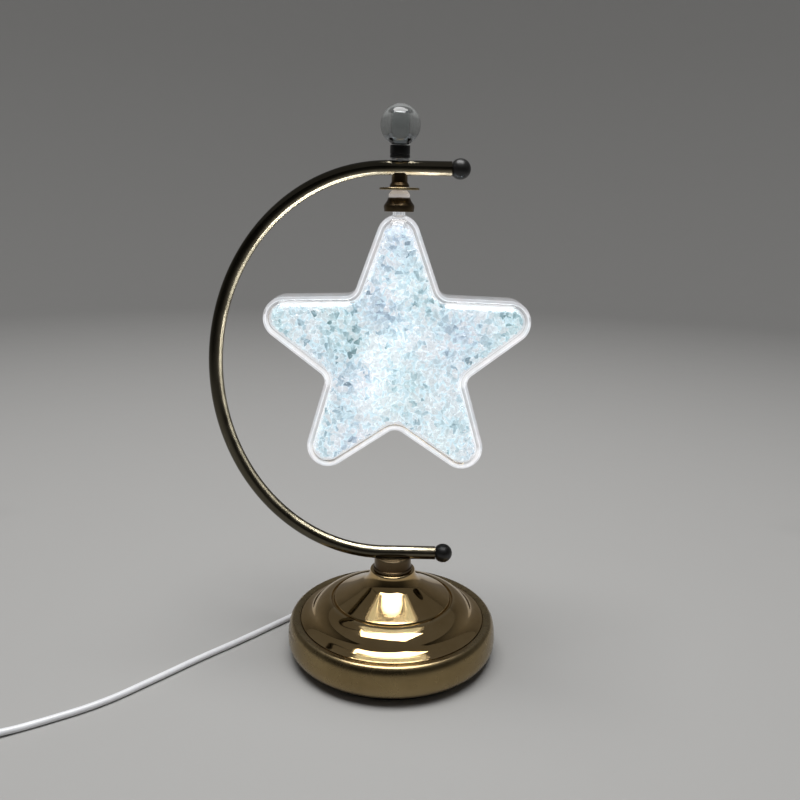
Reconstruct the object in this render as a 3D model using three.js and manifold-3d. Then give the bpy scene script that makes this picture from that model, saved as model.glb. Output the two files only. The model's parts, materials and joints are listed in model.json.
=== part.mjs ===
// Star night lamp: a hollow glass star with an LED stick inside it, hung under a C-shaped
// gold tube arm on a weighted round base, with a crystal ball finial on top and a thin
// supply cord with an inline rocker switch. Millimetres, +Z up, origin under the middle of
// the base on the surface that it stands on, +X towards the open side of the arm.
import * as THREE from "three";
import { mergeVertices } from "three/addons/utils/BufferGeometryUtils.js";
import Module from "manifold-3d";

const wasm = await Module();
wasm.setup();

// ---- driving dimensions ----
const GAP = 0.3; // air kept between pieces that touch
const ROUND = 32; // sides of a large round piece
const MIDDLE_ROUND = 24; // sides of a piece the size of a coin
const SMALL_ROUND = 16; // sides of a small one

const FELT_R = 52;
const FELT_THICK = 1.3;
const PLATE_R = 53;
const PLATE_THICK = 1.2;
const PLATE_Z = FELT_THICK + GAP;
const PLATE_SCREWS = 3;
const PLATE_SCREW_CIRCLE_R = 50;
const PLATE_SCREW_HEAD_R = 2.3;
const PLATE_SCREW_R = 1.2;
const PLATE_SCREW_TIP_Z = 6.6;
const RING_R = 60;
const RING_FOOT_Z = PLATE_Z + PLATE_THICK + GAP;
const RING_LIP_Z = 22.8;
const DOME_EDGE_R = 52.7;
const DOME_TOP_Z = 51.2;
const BALLAST_R = 52.3;
const BALLAST_LOW_Z = 9.5;
const BALLAST_TOP_Z = 18.5;
const RING_BORE_R = 46.5; // opening in the ring's foot
const RING_SHELF_R = 50.4; // inner edge of the shelf under the dome's rim
const RING_SHELF_Z = 20.6;

const TUBE_R = 3.75;
const TUBE_WALL = 0.8;
const ARM_TOP_Z = 272.8; // axis of the upper straight
const ARM_LOW_Z = 61; // axis of the lower straight
const ARM_REACH = 92.4; // half width of the arm's bow
const ARM_BEND_X = -5.1; // where the straights meet the bow
const ARM_UPPER_END_X = 26.5;
const ARM_LOWER_END_X = 24.2;
const ARM_LEAD_START = 0.098; // stretch of the arm that the lead follows, as shares of its length
const ARM_LEAD_SHARE = 0.815;
const CAP_BALL_R = 5.3;
const CAP_BALL_OFFSET = 4.1; // from the cap's flat back to the middle of its ball
const CAP_PLUG_LENGTH = 8;

const BASE_NIPPLE_R = 3;
const BASE_NIPPLE_BORE_R = 1.8;
const BASE_NIPPLE_LOW_Z = 6.2;
const WASHER_R = 8;
const WASHER_Z = 8.2;
const WASHER_THICK = 1;
const NUT_R = 5.2; // over its corners
const NUT_THICK = 2.3;
const COUPLING_R = 10.5;
const COUPLING_LIP = 0.6;
const COUPLING_ABOVE_AXIS = -1.6; // its top, measured from the tube's axis

const STEM_R = 1.7;
const STEM_BORE_R = 1.1;
const STEM_HOLE_R = STEM_R + GAP;
const STEM_TOP_Z = 271.6;
const LEAD_R = 0.7;
const NECK_R = 4.1;
const NECK_LOW_Z = 263.4;
const DISC_R = 10.3;
const DISC_THICK = 1.15;
const BARREL_R = 5.4;
const BARREL_HEIGHT = 3.35;
const BELL_R = 8;
const BELL_LOW_Z = 251.1;
const CONE_TOP_R = 2.6;
const CONE_LOW_R = 5;
const CONE_TOP_Z = 249;
const CONE_LOW_Z = 244.5;

const STAR_Z = 177; // middle of the star
const STAR_TIP_AT = 61.9; // from the middle to the centre of each rounded tip
const STAR_TIP_R = 11.4;
const STAR_NOTCH_AT = 46.4; // from the middle to the centre of each notch's fillet
const STAR_NOTCH_R = 6;
const STAR_HALF_THICK = 16;
const STAR_EDGE_ROUND = 9;
const STAR_WALL = 3.2;
const STAR_NECK_R = 3.2;
const ICE_THICK = 5.2;

const BOARD_TOP_Z = 243.4;
const BOARD_LOW_Z = 166;
const BOARD_WIDTH = 6;
const BOARD_THICK = 1;
const CHIP_SIZE = 3.5;
const CHIP_THICK = 1.3;
const CHIP_LEVELS = [228, 202, 176];

const BALL_R = 10.2;
const BALL_Z = 293.6;
const COLLAR_R = 5.1;
const COLLAR_LOW_Z = 277.65;
const COLLAR_TOP_Z = 284.1;
const STUD_R = 1.9;
const STUD_TOP_Z = 282.1;

const EXIT_ANGLE = (82 * Math.PI) / 180; // where the cord leaves the base, from +X towards +Y
const EXIT_Z = 7.4;
const RELIEF_ROOT_R = 60.4;
const RELIEF_LENGTH = 20;
const RELIEF_NECK_R = 2.75;
const RELIEF_FLANGE_R = 3.9;
const CORD_R = 1.75;
const CORD_SIDES = 8;
const CORD_HEIGHT = 1.9; // axis of the cord where it lies
const COIL_R = 20.1; // middle of the coil's turns
const COIL_SECTION = 10.9; // three turns side by side and three high
const COIL_LOW_Z = 1.4;
const TIE_THICK = 0.6;
const TIE_WIDTH = 5;
const COIL_X = -278.3;
const COIL_Y = -115.9;

const SWITCH_LENGTH = 46;
const SWITCH_WIDTH = 17;
const SWITCH_SPLIT_Z = 5.5;
const SWITCH_TOP_Z = 11.6;
const SWITCH_WALL = 1.5;
const SWITCH_CORNER_R = 4;
const SWITCH_SCREW_R = 1;
const SWITCH_X = -223.9;
const SWITCH_Y = -107.3;
const SWITCH_HEADING = (210 * Math.PI) / 180; // the way the cord runs through it
const ROCKER_LENGTH = 13;
const ROCKER_WIDTH = 6.5;
const ROCKER_TILT = (7 * Math.PI) / 180;
const ROCKER_PIVOT_Z = 9.4;

const PLUG_X = -232;
const PLUG_Y = -85;
const PLUG_Z = 4.2;

// ---- finishes ----
const finish = (color, roughness, metalness, extra = {}) =>
  new THREE.MeshStandardMaterial({ color, roughness, metalness, ...extra });
const polishedGold = finish(0xd9a866, 0.14, 1);
const satinGold = finish(0xb8965c, 0.42, 1);
const bronze = finish(0x6b5433, 0.25, 1);
const blackGloss = finish(0x0c0c0d, 0.25, 0);
const clearGlass = finish(0xe9eef0, 0.04, 0, { transparent: true, opacity: 0.35 });
const iceGlass = finish(0xdfeaf2, 0.3, 0, { emissive: 0xcfe4f5, emissiveIntensity: 1 });
const whitePlastic = finish(0xe8e8e6, 0.45, 0);
const lamp = finish(0xfff6da, 0.5, 0, { emissive: 0xf4f8ff, emissiveIntensity: 2 });
const steel = finish(0xb4b6b8, 0.3, 1);
const castIron = finish(0x3b3b3c, 0.7, 1);
const felt = finish(0x23262a, 0.95, 0);
const cordVinyl = finish(0xc9ccce, 0.35, 0);
const greyPlastic = finish(0xb9bcbf, 0.45, 0);
const redWire = finish(0x9c2f28, 0.5, 0);

// ---- solids and geometry ----
function toSolid(geometry) {
  const bare = new THREE.BufferGeometry();
  bare.setAttribute("position", geometry.getAttribute("position"));
  bare.setIndex(geometry.index);
  const merged = mergeVertices(bare, 1e-4);
  return new wasm.Manifold(
    new wasm.Mesh({
      numProp: 3,
      vertProperties: merged.attributes.position.array,
      triVerts: new Uint32Array(merged.index.array),
    }),
  );
}

function toGeometry(solid) {
  const { vertProperties, triVerts } = solid.getMesh();
  const geometry = new THREE.BufferGeometry();
  geometry.setAttribute("position", new THREE.BufferAttribute(vertProperties, 3));
  geometry.setIndex(new THREE.BufferAttribute(triVerts, 1));
  geometry.computeVertexNormals();
  return geometry;
}

function cut(geometry, ...tools) {
  return toGeometry(tools.reduce((left, tool) => left.subtract(toSolid(tool)), toSolid(geometry)));
}

// A profile of [radius, height] points, listed up the outside and back down the inside,
// turned about Z.
function turned(profile, sides = ROUND) {
  const points = profile.map(([r, z]) => new THREE.Vector2(r, z));
  return new THREE.LatheGeometry(points, sides).rotateX(Math.PI / 2);
}

// A tube or disc about Z with square edges; bore 0 makes it solid.
function drum(radius, low, high, bore = 0, sides = ROUND) {
  const section = [[bore, low], [radius, low], [radius, high], [bore, high]];
  if (bore) section.push([bore, low]);
  return turned(section, sides);
}

function alongX(geometry) {
  return geometry.rotateY(Math.PI / 2);
}

function block(x, y, z, width, depth, height) {
  return new THREE.BoxGeometry(width, depth, height).translate(x, y, z);
}

function pathPoints(path, divisions) {
  return path.getPoints(divisions).map((p) => [p.x, p.y]);
}

const lampGroup = new THREE.Group();

function place(name, geometry, material, parent = lampGroup) {
  const mesh = new THREE.Mesh(geometry, material);
  mesh.name = name;
  parent.add(mesh);
  return mesh;
}

// ---- weighted base ----
function plateScrewAt(index) {
  const angle = (2 * Math.PI * index) / PLATE_SCREWS;
  return [PLATE_SCREW_CIRCLE_R * Math.cos(angle), PLATE_SCREW_CIRCLE_R * Math.sin(angle)];
}

// A countersunk screw that points up; grow makes the room around it.
const screwProfile = (grow) => [
  [0, PLATE_Z + 0.05 - grow],
  [PLATE_SCREW_HEAD_R + 2 * grow, PLATE_Z + 0.05 - grow],
  [PLATE_SCREW_R + grow, PLATE_Z + 1.1 + grow],
  [PLATE_SCREW_R + grow, PLATE_SCREW_TIP_Z + grow],
  [0, PLATE_SCREW_TIP_Z + grow],
];

function screwHoles() {
  return Array.from({ length: PLATE_SCREWS }, (_, i) => {
    const [x, y] = plateScrewAt(i);
    return turned(screwProfile(GAP), SMALL_ROUND).translate(x, y, 0);
  });
}

function baseRing() {
  const outside = new THREE.Path();
  outside.moveTo(RING_BORE_R, RING_FOOT_Z);
  outside.lineTo(54, RING_FOOT_Z);
  outside.quadraticCurveTo(RING_R + 0.2, 4.6, RING_R, 11.5);
  outside.quadraticCurveTo(RING_R - 0.3, 21.4, 56.6, RING_LIP_Z);
  outside.lineTo(DOME_EDGE_R + 0.5, 22.2);
  const inside = [
    [DOME_EDGE_R + 0.5, RING_SHELF_Z],
    [RING_SHELF_R, RING_SHELF_Z],
    [RING_SHELF_R, BALLAST_TOP_Z + GAP],
    [56.2, BALLAST_TOP_Z + GAP],
    [57.6, 11.5],
    [55.2, 5],
    [RING_BORE_R, 4.5],
    [RING_BORE_R, RING_FOOT_Z],
  ];
  const exitHole = alongX(drum(RELIEF_NECK_R + GAP + 0.05, 50, RING_R + 2, 0, SMALL_ROUND))
    .rotateZ(EXIT_ANGLE)
    .translate(0, 0, EXIT_Z);
  return cut(turned([...pathPoints(outside, 4), ...inside]), exitHole, ...screwHoles());
}

function domeProfile() {
  const inner = [
    [11.3, DOME_TOP_Z - 1.4],
    [12, 47],
    [15.4, 41.9],
    [23.6, 36.9],
    [32.4, 31.6],
    [36.4, 30.9],
    [40.8, 29.3],
    [44.2, 24.6],
    [47, 22.4],
    [49.6, RING_SHELF_Z + GAP],
    [DOME_EDGE_R, RING_SHELF_Z + GAP],
  ];
  const outer = new THREE.Path();
  outer.moveTo(DOME_EDGE_R, 22.7);
  outer.quadraticCurveTo(47.3, 24, 45.6, 26.4);
  outer.quadraticCurveTo(42.4, 31.6, 35.2, 33.3);
  outer.lineTo(34.6, 32.3);
  outer.lineTo(33.7, 32.4);
  outer.lineTo(33.2, 33.9);
  outer.quadraticCurveTo(24, 38.2, 16.5, 43.2);
  outer.quadraticCurveTo(13.4, 46, 12.9, 50.2);
  outer.quadraticCurveTo(12.7, 51.2, 11.4, DOME_TOP_Z);
  const start = [BASE_NIPPLE_R + GAP, DOME_TOP_Z - 1.2];
  return [start, ...inner, ...pathPoints(outer, 3), [BASE_NIPPLE_R + GAP, DOME_TOP_Z], start];
}

function buildBase() {
  place("felt_pad", drum(FELT_R, 0, FELT_THICK), felt);
  place("bottom_plate", cut(drum(PLATE_R, PLATE_Z, PLATE_Z + PLATE_THICK), ...screwHoles()), steel);
  for (let i = 0; i < PLATE_SCREWS; i++) {
    const [x, y] = plateScrewAt(i);
    place(`plate_screw_${i + 1}`, turned(screwProfile(0), 12), steel).position.set(x, y, 0);
  }
  place("base_ring", baseRing(), satinGold);
  place("base_dome", turned(domeProfile()), polishedGold);
  place(
    "ballast_weight",
    drum(BALLAST_R, BALLAST_LOW_Z, BALLAST_TOP_Z, BASE_NIPPLE_R + GAP),
    castIron,
  );
  const washer = drum(WASHER_R, WASHER_Z, WASHER_Z + WASHER_THICK, BASE_NIPPLE_R + GAP, MIDDLE_ROUND);
  place("nipple_washer", washer, steel);
  const nutTop = WASHER_Z - GAP;
  const nutBore = drum(BASE_NIPPLE_R + GAP, 0, WASHER_Z, 0, SMALL_ROUND);
  place("nipple_nut", cut(drum(NUT_R, nutTop - NUT_THICK, nutTop, 0, 6), nutBore), steel);
  place(
    "base_nipple",
    drum(BASE_NIPPLE_R, BASE_NIPPLE_LOW_Z, ARM_LOW_Z - TUBE_R - GAP, BASE_NIPPLE_BORE_R, 16),
    steel,
  );
  place("arm_coupling", armCoupling(), satinGold);
}

// The post between dome and arm, with a cradle in its top that the tube lies in.
function armCoupling() {
  const low = DOME_TOP_Z + GAP;
  const top = ARM_LOW_Z + COUPLING_ABOVE_AXIS;
  const bore = BASE_NIPPLE_R + GAP;
  const body = turned(
    [
      [bore, low],
      [COUPLING_R + COUPLING_LIP, low],
      [COUPLING_R + COUPLING_LIP, low + 1],
      [COUPLING_R, low + 1.5],
      [COUPLING_R, top - 0.5],
      [COUPLING_R - 0.5, top],
      [bore, top],
      [bore, low],
    ],
    MIDDLE_ROUND,
  );
  const cradle = alongX(drum(TUBE_R + GAP, -20, 20, 0, MIDDLE_ROUND)).translate(0, 0, ARM_LOW_Z);
  return cut(body, cradle);
}

// ---- arm ----
class ArmCurve extends THREE.Curve {
  getPoint(t, target = new THREE.Vector3()) {
    const rise = (ARM_TOP_Z - ARM_LOW_Z) / 2;
    const bow = Math.PI * Math.sqrt((rise ** 2 + ARM_REACH ** 2) / 2);
    const upper = ARM_UPPER_END_X - ARM_BEND_X;
    const lower = ARM_LOWER_END_X - ARM_BEND_X;
    const s = t * (upper + bow + lower);
    if (s < upper) return target.set(ARM_UPPER_END_X - s, 0, ARM_TOP_Z);
    if (s > upper + bow) return target.set(ARM_BEND_X + s - upper - bow, 0, ARM_LOW_Z);
    const angle = (Math.PI * (s - upper)) / bow;
    return target.set(
      ARM_BEND_X - ARM_REACH * Math.sin(angle),
      0,
      ARM_LOW_Z + rise + rise * Math.cos(angle),
    );
  }
}

function circle(radius) {
  return new THREE.Shape().absarc(0, 0, radius, 0, 2 * Math.PI);
}

function armTube() {
  const section = circle(TUBE_R);
  section.holes.push(circle(TUBE_R - TUBE_WALL));
  const tube = new THREE.ExtrudeGeometry(section, {
    steps: 32,
    curveSegments: 6,
    extrudePath: new ArmCurve(),
  });
  const leadHole = drum(BASE_NIPPLE_BORE_R, ARM_LOW_Z - 6, ARM_LOW_Z, 0, SMALL_ROUND);
  const stemHole = drum(STEM_HOLE_R, ARM_TOP_Z - 6, ARM_TOP_Z, 0, SMALL_ROUND);
  const studHole = drum(STUD_R + GAP, ARM_TOP_Z, ARM_TOP_Z + 6, 0, SMALL_ROUND);
  return cut(tube, leadHole, stemHole, studHole);
}

function endCap() {
  const shoulder = Math.acos(CAP_BALL_OFFSET / CAP_BALL_R);
  const plugR = TUBE_R - TUBE_WALL - 1.5 * GAP;
  const plugEnd = -CAP_PLUG_LENGTH - GAP;
  const ball = [];
  const steps = 6;
  for (let i = 0; i <= steps; i++) {
    const angle = (Math.PI - shoulder) * (1 - i / steps);
    ball.push([
      CAP_BALL_R * Math.sin(angle),
      CAP_BALL_OFFSET + CAP_BALL_R * Math.cos(angle),
    ]);
  }
  ball[steps][0] = 0;
  const plug = [[0, plugEnd], [plugR - 0.3, plugEnd], [plugR, plugEnd + 1], [plugR, 0]];
  return alongX(turned([...plug, ...ball], SMALL_ROUND));
}

function buildArm() {
  place("arm_tube", armTube(), polishedGold);
  place("end_cap_upper", endCap(), blackGloss).position.set(ARM_UPPER_END_X + GAP, 0, ARM_TOP_Z);
  place("end_cap_lower", endCap(), blackGloss).position.set(ARM_LOWER_END_X + GAP, 0, ARM_LOW_Z);
}

// ---- finial: a crystal ball in a black collar that screws on a stud in the arm ----
function buildFinial() {
  place("finial_stud", drum(STUD_R, ARM_TOP_Z + 2, STUD_TOP_Z, 0, SMALL_ROUND), steel);
  const bore = STUD_R + GAP;
  const washerTop = COLLAR_LOW_Z - GAP;
  const washer = drum(COLLAR_R - 0.5, washerTop - 0.5, washerTop, bore, MIDDLE_ROUND);
  place("collar_washer", washer, steel);
  const collar = turned(
    [
      [0, STUD_TOP_Z + 0.5],
      [bore, STUD_TOP_Z + 0.5],
      [bore, COLLAR_LOW_Z],
      [COLLAR_R - 0.3, COLLAR_LOW_Z],
      [COLLAR_R, COLLAR_LOW_Z + 0.35],
      [COLLAR_R, COLLAR_TOP_Z - 0.7],
      [COLLAR_R - 0.7, COLLAR_TOP_Z],
      [3, COLLAR_TOP_Z - 0.6],
      [0, COLLAR_TOP_Z - 1.05],
    ],
    MIDDLE_ROUND,
  );
  place("finial_collar", collar, blackGloss);
  const ball = new THREE.SphereGeometry(BALL_R, 20, 12);
  place("crystal_ball", ball, clearGlass).position.z = BALL_Z;
}

// ---- holder under the arm ----
function holderNeck() {
  const top = ARM_TOP_Z - 2.4;
  const body = turned(
    [
      [STEM_HOLE_R, NECK_LOW_Z],
      [NECK_R + 1, NECK_LOW_Z],
      [NECK_R + 0.9, NECK_LOW_Z + 0.8],
      [NECK_R, NECK_LOW_Z + 2.4],
      [NECK_R, top],
      [STEM_HOLE_R, top],
      [STEM_HOLE_R, NECK_LOW_Z],
    ],
    MIDDLE_ROUND,
  );
  const cradle = alongX(drum(TUBE_R + GAP, -10, 10, 0, MIDDLE_ROUND)).translate(0, 0, ARM_TOP_Z);
  return cut(body, cradle);
}

// The cone nut inside the star's neck; grow makes the room around it.
const coneProfile = (grow) => [
  [0, CONE_LOW_Z - grow],
  [CONE_LOW_R + grow, CONE_LOW_Z - grow],
  [CONE_LOW_R + grow, CONE_LOW_Z + 1],
  [CONE_TOP_R + grow, CONE_TOP_Z + grow],
  [0, CONE_TOP_Z + grow],
];

function buildHolder() {
  place("holder_neck", holderNeck(), bronze);
  const stem = turned(
    [
      [STEM_BORE_R, CONE_LOW_Z + 0.4],
      [STEM_R, CONE_LOW_Z + 0.4],
      [STEM_R, STEM_TOP_Z - 0.6],
      [STEM_R + 0.3, STEM_TOP_Z - 0.6],
      [STEM_R + 0.3, STEM_TOP_Z],
      [STEM_R, STEM_TOP_Z],
      [STEM_BORE_R, STEM_TOP_Z - 0.8],
      [STEM_BORE_R, CONE_LOW_Z + 0.4],
    ],
    SMALL_ROUND,
  );
  place("hanging_stem", stem, steel);
  const nutBore = drum(STEM_HOLE_R, CONE_LOW_Z - 1, CONE_TOP_Z + 1, 0, SMALL_ROUND);
  const nut = cut(turned(coneProfile(0), MIDDLE_ROUND), nutBore);
  place("stem_cone_nut", nut, greyPlastic);
  const discTop = NECK_LOW_Z - GAP;
  const barrelTop = discTop - DISC_THICK - GAP;
  const bellTop = barrelTop - BARREL_HEIGHT - GAP;
  place("canopy_disc", drum(DISC_R, discTop - DISC_THICK, discTop, STEM_HOLE_R), satinGold);
  place("holder_barrel", drum(BARREL_R, bellTop + GAP, barrelTop, STEM_HOLE_R, MIDDLE_ROUND), polishedGold);
  const bell = [
    [STEM_HOLE_R, bellTop - 1],
    [BELL_R - 3, bellTop - 1.2],
    [BELL_R - 1.1, bellTop - 4],
    [BELL_R - 1.3, BELL_LOW_Z],
    [BELL_R - 0.4, BELL_LOW_Z],
    [BELL_R, bellTop - 4],
    [BELL_R - 1.8, bellTop - 1.4],
    [BELL_R - 2.3, bellTop],
    [STEM_HOLE_R, bellTop],
    [STEM_HOLE_R, bellTop - 1],
  ];
  place("gallery_cap", turned(bell, MIDDLE_ROUND), bronze);
}

// ---- LED stick ----
function buildLight() {
  const height = BOARD_TOP_Z - BOARD_LOW_Z;
  const board = block(0, 0, BOARD_LOW_Z + height / 2, BOARD_WIDTH, BOARD_THICK, height);
  place("led_board", board, whitePlastic);
  for (const [side, label] of [[-1, "front"], [1, "back"]]) {
    CHIP_LEVELS.forEach((z, i) => {
      const y = side * (BOARD_THICK / 2 + GAP + CHIP_THICK / 2);
      const chip = block(0, y, z, CHIP_SIZE, CHIP_THICK, CHIP_SIZE);
      place(`led_chip_${label}_${i + 1}`, chip, lamp);
    });
  }
}

// ---- glass star ----
// Five rounded tips and five filleted notches, drawn in X and Z about the star's middle.
// inset moves the whole outline inwards.
function starShape(inset = 0) {
  const shape = new THREE.Shape();
  const tipR = STAR_TIP_R - inset;
  const notchR = STAR_NOTCH_R + inset;
  // The straight edge from a tip to a notch touches both circles on opposite sides.
  const notchX = STAR_NOTCH_AT * Math.sin(Math.PI / 5);
  const notchY = STAR_NOTCH_AT * Math.cos(Math.PI / 5);
  const apart = Math.hypot(notchX, STAR_TIP_AT - notchY);
  const towards = Math.atan2(STAR_TIP_AT - notchY, notchX);
  const lean = Math.acos((tipR + notchR) / apart) - towards;
  for (let i = 0; i < 5; i++) {
    const up = Math.PI / 2 - (2 * Math.PI * i) / 5;
    const tip = [STAR_TIP_AT * Math.cos(up), STAR_TIP_AT * Math.sin(up)];
    const spread = Math.PI / 2 - lean;
    shape.absarc(tip[0], tip[1], tipR, up + spread, up - spread, true);
    const down = up - Math.PI / 5;
    const notch = [STAR_NOTCH_AT * Math.cos(down), STAR_NOTCH_AT * Math.sin(down)];
    const back = spread - Math.PI / 5;
    shape.absarc(notch[0], notch[1], notchR, down + Math.PI - back, down + Math.PI + back, false);
  }
  shape.closePath();
  return shape;
}

// The star as a pillow: its outline thickened along Y with rounded edges.
function starPillow(inset, halfThick, edge) {
  return new THREE.ExtrudeGeometry(starShape(inset + edge), {
    depth: 2 * (halfThick - edge),
    bevelThickness: edge,
    bevelSize: edge,
    bevelSegments: 2,
    curveSegments: 2,
  })
    .translate(0, 0, -(halfThick - edge))
    .rotateX(Math.PI / 2)
    .translate(0, 0, STAR_Z);
}

function half(side) {
  return block(0, side * (50 + GAP / 2), STAR_Z, 200, 100, 200);
}

function buildStar() {
  const neck = drum(STAR_NECK_R, 246, 252.6, 0, SMALL_ROUND);
  const outer = toSolid(starPillow(0, STAR_HALF_THICK, STAR_EDGE_ROUND)).add(toSolid(neck));
  const hollow = starPillow(
    STAR_WALL,
    STAR_HALF_THICK - STAR_WALL,
    STAR_EDGE_ROUND - STAR_WALL,
  );
  const stemHole = drum(STEM_HOLE_R, 240, 256, 0, SMALL_ROUND);
  const shell = outer
    .subtract(toSolid(hollow))
    .subtract(toSolid(stemHole))
    .subtract(toSolid(turned(coneProfile(GAP + 0.1), MIDDLE_ROUND)));
  const inset = STAR_WALL + GAP + 0.2;
  const fillHalf = STAR_HALF_THICK - inset;
  const fill = toSolid(starPillow(inset, fillHalf, STAR_EDGE_ROUND - inset));
  for (const [side, label] of [[-1, "front"], [1, "back"]]) {
    place(`star_shell_${label}`, toGeometry(shell.intersect(toSolid(half(side)))), clearGlass);
    const layer = block(0, side * (fillHalf - ICE_THICK / 2 + 1), STAR_Z, 200, ICE_THICK + 2, 200);
    place(`ice_lining_${label}`, toGeometry(fill.intersect(toSolid(layer))), iceGlass);
  }
}

// ---- cords ----
// A smooth curve whose steps are spread evenly over its points, not over its length.
class PointPath extends THREE.CatmullRomCurve3 {
  constructor(points) {
    super(points.map((p) => new THREE.Vector3(...p)), false, "centripetal");
  }
  getPointAt(t, target) {
    return this.getPoint(t, target);
  }
  getTangentAt(t, target) {
    return this.getTangent(t, target);
  }
}

// A round cord through hand-placed points, with two steps between each pair of them.
function cordAlong(points, radius, sides) {
  const section = new THREE.Shape();
  for (let i = 0; i < sides; i++) {
    const angle = (2 * Math.PI * i) / sides;
    const [x, y] = [radius * Math.cos(angle), radius * Math.sin(angle)];
    if (i) section.lineTo(x, y);
    else section.moveTo(x, y);
  }
  section.closePath();
  const extrudePath = new PointPath(points);
  return new THREE.ExtrudeGeometry(section, { steps: 2 * (points.length - 1), extrudePath });
}

// The wire inside the lamp: across the base, up the nipple, round the arm, down the stem.
function innerLead() {
  const outwards = (r, z) => [r * Math.cos(EXIT_ANGLE), r * Math.sin(EXIT_ANGLE), z];
  const arm = new ArmCurve();
  const points = [
    outwards(52.6, EXIT_Z),
    outwards(44, 6.9),
    outwards(24, 4.4),
    outwards(7, 3.9),
    outwards(2.2, 4.2),
    outwards(0.4, 5.5),
    [0, 0, 7.6],
    [0, 0, 24],
    [0, 0, 42],
    [0, 0, 56.5],
    [-1, 0, 59.9],
    [-4.4, 0, ARM_LOW_Z],
  ];
  const bends = 18;
  for (let i = bends; i >= 1; i--) {
    points.push(arm.getPoint(ARM_LEAD_START + (ARM_LEAD_SHARE * i) / bends).toArray());
  }
  points.push(
    [-3.6, 0, ARM_TOP_Z + 0.6],
    [-1.5, 0, ARM_TOP_Z + 0.7],
    [-0.4, 0, ARM_TOP_Z + 0.2],
    [0, 0, ARM_TOP_Z - 0.8],
    [0, 0, STEM_TOP_Z - 1],
    [0, 0, NECK_LOW_Z],
    [0, 0, BOARD_TOP_Z + GAP],
  );
  return cordAlong(points, LEAD_R, 6);
}

function strainRelief() {
  const root = RELIEF_ROOT_R;
  const tip = root + RELIEF_LENGTH;
  const inner = DOME_EDGE_R + 0.5;
  return alongX(
    turned(
      [
        [0, inner],
        [RELIEF_NECK_R, inner],
        [RELIEF_NECK_R, root],
        [RELIEF_FLANGE_R, root + 0.1],
        [RELIEF_FLANGE_R, root + 2],
        [RELIEF_FLANGE_R - 0.6, root + 3],
        [CORD_R + 0.55, tip - 0.6],
        [CORD_R + 0.15, tip],
        [0, tip],
      ],
      SMALL_ROUND,
    ),
  )
    .rotateZ(EXIT_ANGLE)
    .translate(0, 0, EXIT_Z);
}

// From the relief behind the base, close round its left side, then off to the left front.
const NEAR_ROUTE = [
  [11.3, 80.4, 7.4],
  [12, 85.3, 7],
  [11, 93.2, 5.5],
  [6, 99.3, 3.8],
  [-1.4, 102.1, 2.4],
  [-9.2, 100.6, CORD_HEIGHT],
  [-15.1, 95.4, CORD_HEIGHT],
  [-30.3, 71.8, CORD_HEIGHT],
  [-45.5, 48.2, CORD_HEIGHT],
  [-65, 27.7, CORD_HEIGHT],
  [-89.5, 1, CORD_HEIGHT],
  [-109.5, -19.5, CORD_HEIGHT],
  [-130, -42, CORD_HEIGHT],
  [-149, -61.2, CORD_HEIGHT],
  [-169.5, -75.5, CORD_HEIGHT],
  [-189, -87, 2.3],
  [-203.6, -95.6, 4.9],
];
const MID_ROUTE = [
  [-244.2, -119.1, 4.9],
  [-248.1, -121.4, 4.3],
  [-252.1, -124.3, 3.7],
];
const TAIL_ROUTE = [
  [-269.2, -88.9, 8.4],
  [-263.6, -87, 6.6],
  [-258.9, -85.6, 5.1],
  [-254.6, PLUG_Y, PLUG_Z + 0.1],
];

function coilAndTie() {
  const r = [COIL_R - COIL_SECTION / 2, COIL_R + COIL_SECTION / 2];
  const z = [COIL_LOW_Z, COIL_LOW_Z + COIL_SECTION];
  const coil = turned(
    [
      [r[0], z[0] + 1.2],
      [r[0] + 1.2, z[0]],
      [r[1] - 1.2, z[0]],
      [r[1], z[0] + 1.2],
      [r[1], z[1] - 1.2],
      [r[1] - 1.2, z[1]],
      [r[0] + 1.2, z[1]],
      [r[0], z[1] - 1.2],
      [r[0], z[0] + 1.2],
    ],
    MIDDLE_ROUND,
  );
  place("cord_coil", coil, cordVinyl).position.set(COIL_X, COIL_Y, 0);
  const [wide, thick, band] = [COIL_SECTION + 4 * GAP, TIE_THICK, TIE_WIDTH];
  const loop = new THREE.Shape();
  const window = new THREE.Path();
  for (const [path, half] of [[loop, wide / 2 + thick], [window, wide / 2]]) {
    path.moveTo(-half, -half);
    path.lineTo(half, -half);
    path.lineTo(half, half);
    path.lineTo(-half, half);
    path.closePath();
  }
  loop.holes.push(window);
  const tie = new THREE.ExtrudeGeometry(loop, { depth: band, bevelEnabled: false })
    .translate(0, 0, -band / 2)
    .rotateX(Math.PI / 2)
    .translate(-COIL_R, 0, COIL_LOW_Z + COIL_SECTION / 2);
  place("coil_tie", tie, blackGloss).position.set(COIL_X, COIL_Y, 0);
}

function buildCords() {
  place("inner_lead", innerLead(), redWire);
  place("strain_relief", strainRelief(), cordVinyl);
  place("cord_near", cordAlong(NEAR_ROUTE, CORD_R, CORD_SIDES), cordVinyl);
  place("cord_mid", cordAlong(MID_ROUTE, CORD_R, CORD_SIDES), cordVinyl);
  place("cord_tail", cordAlong(TAIL_ROUTE, CORD_R, CORD_SIDES), cordVinyl);
  coilAndTie();
}

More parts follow.
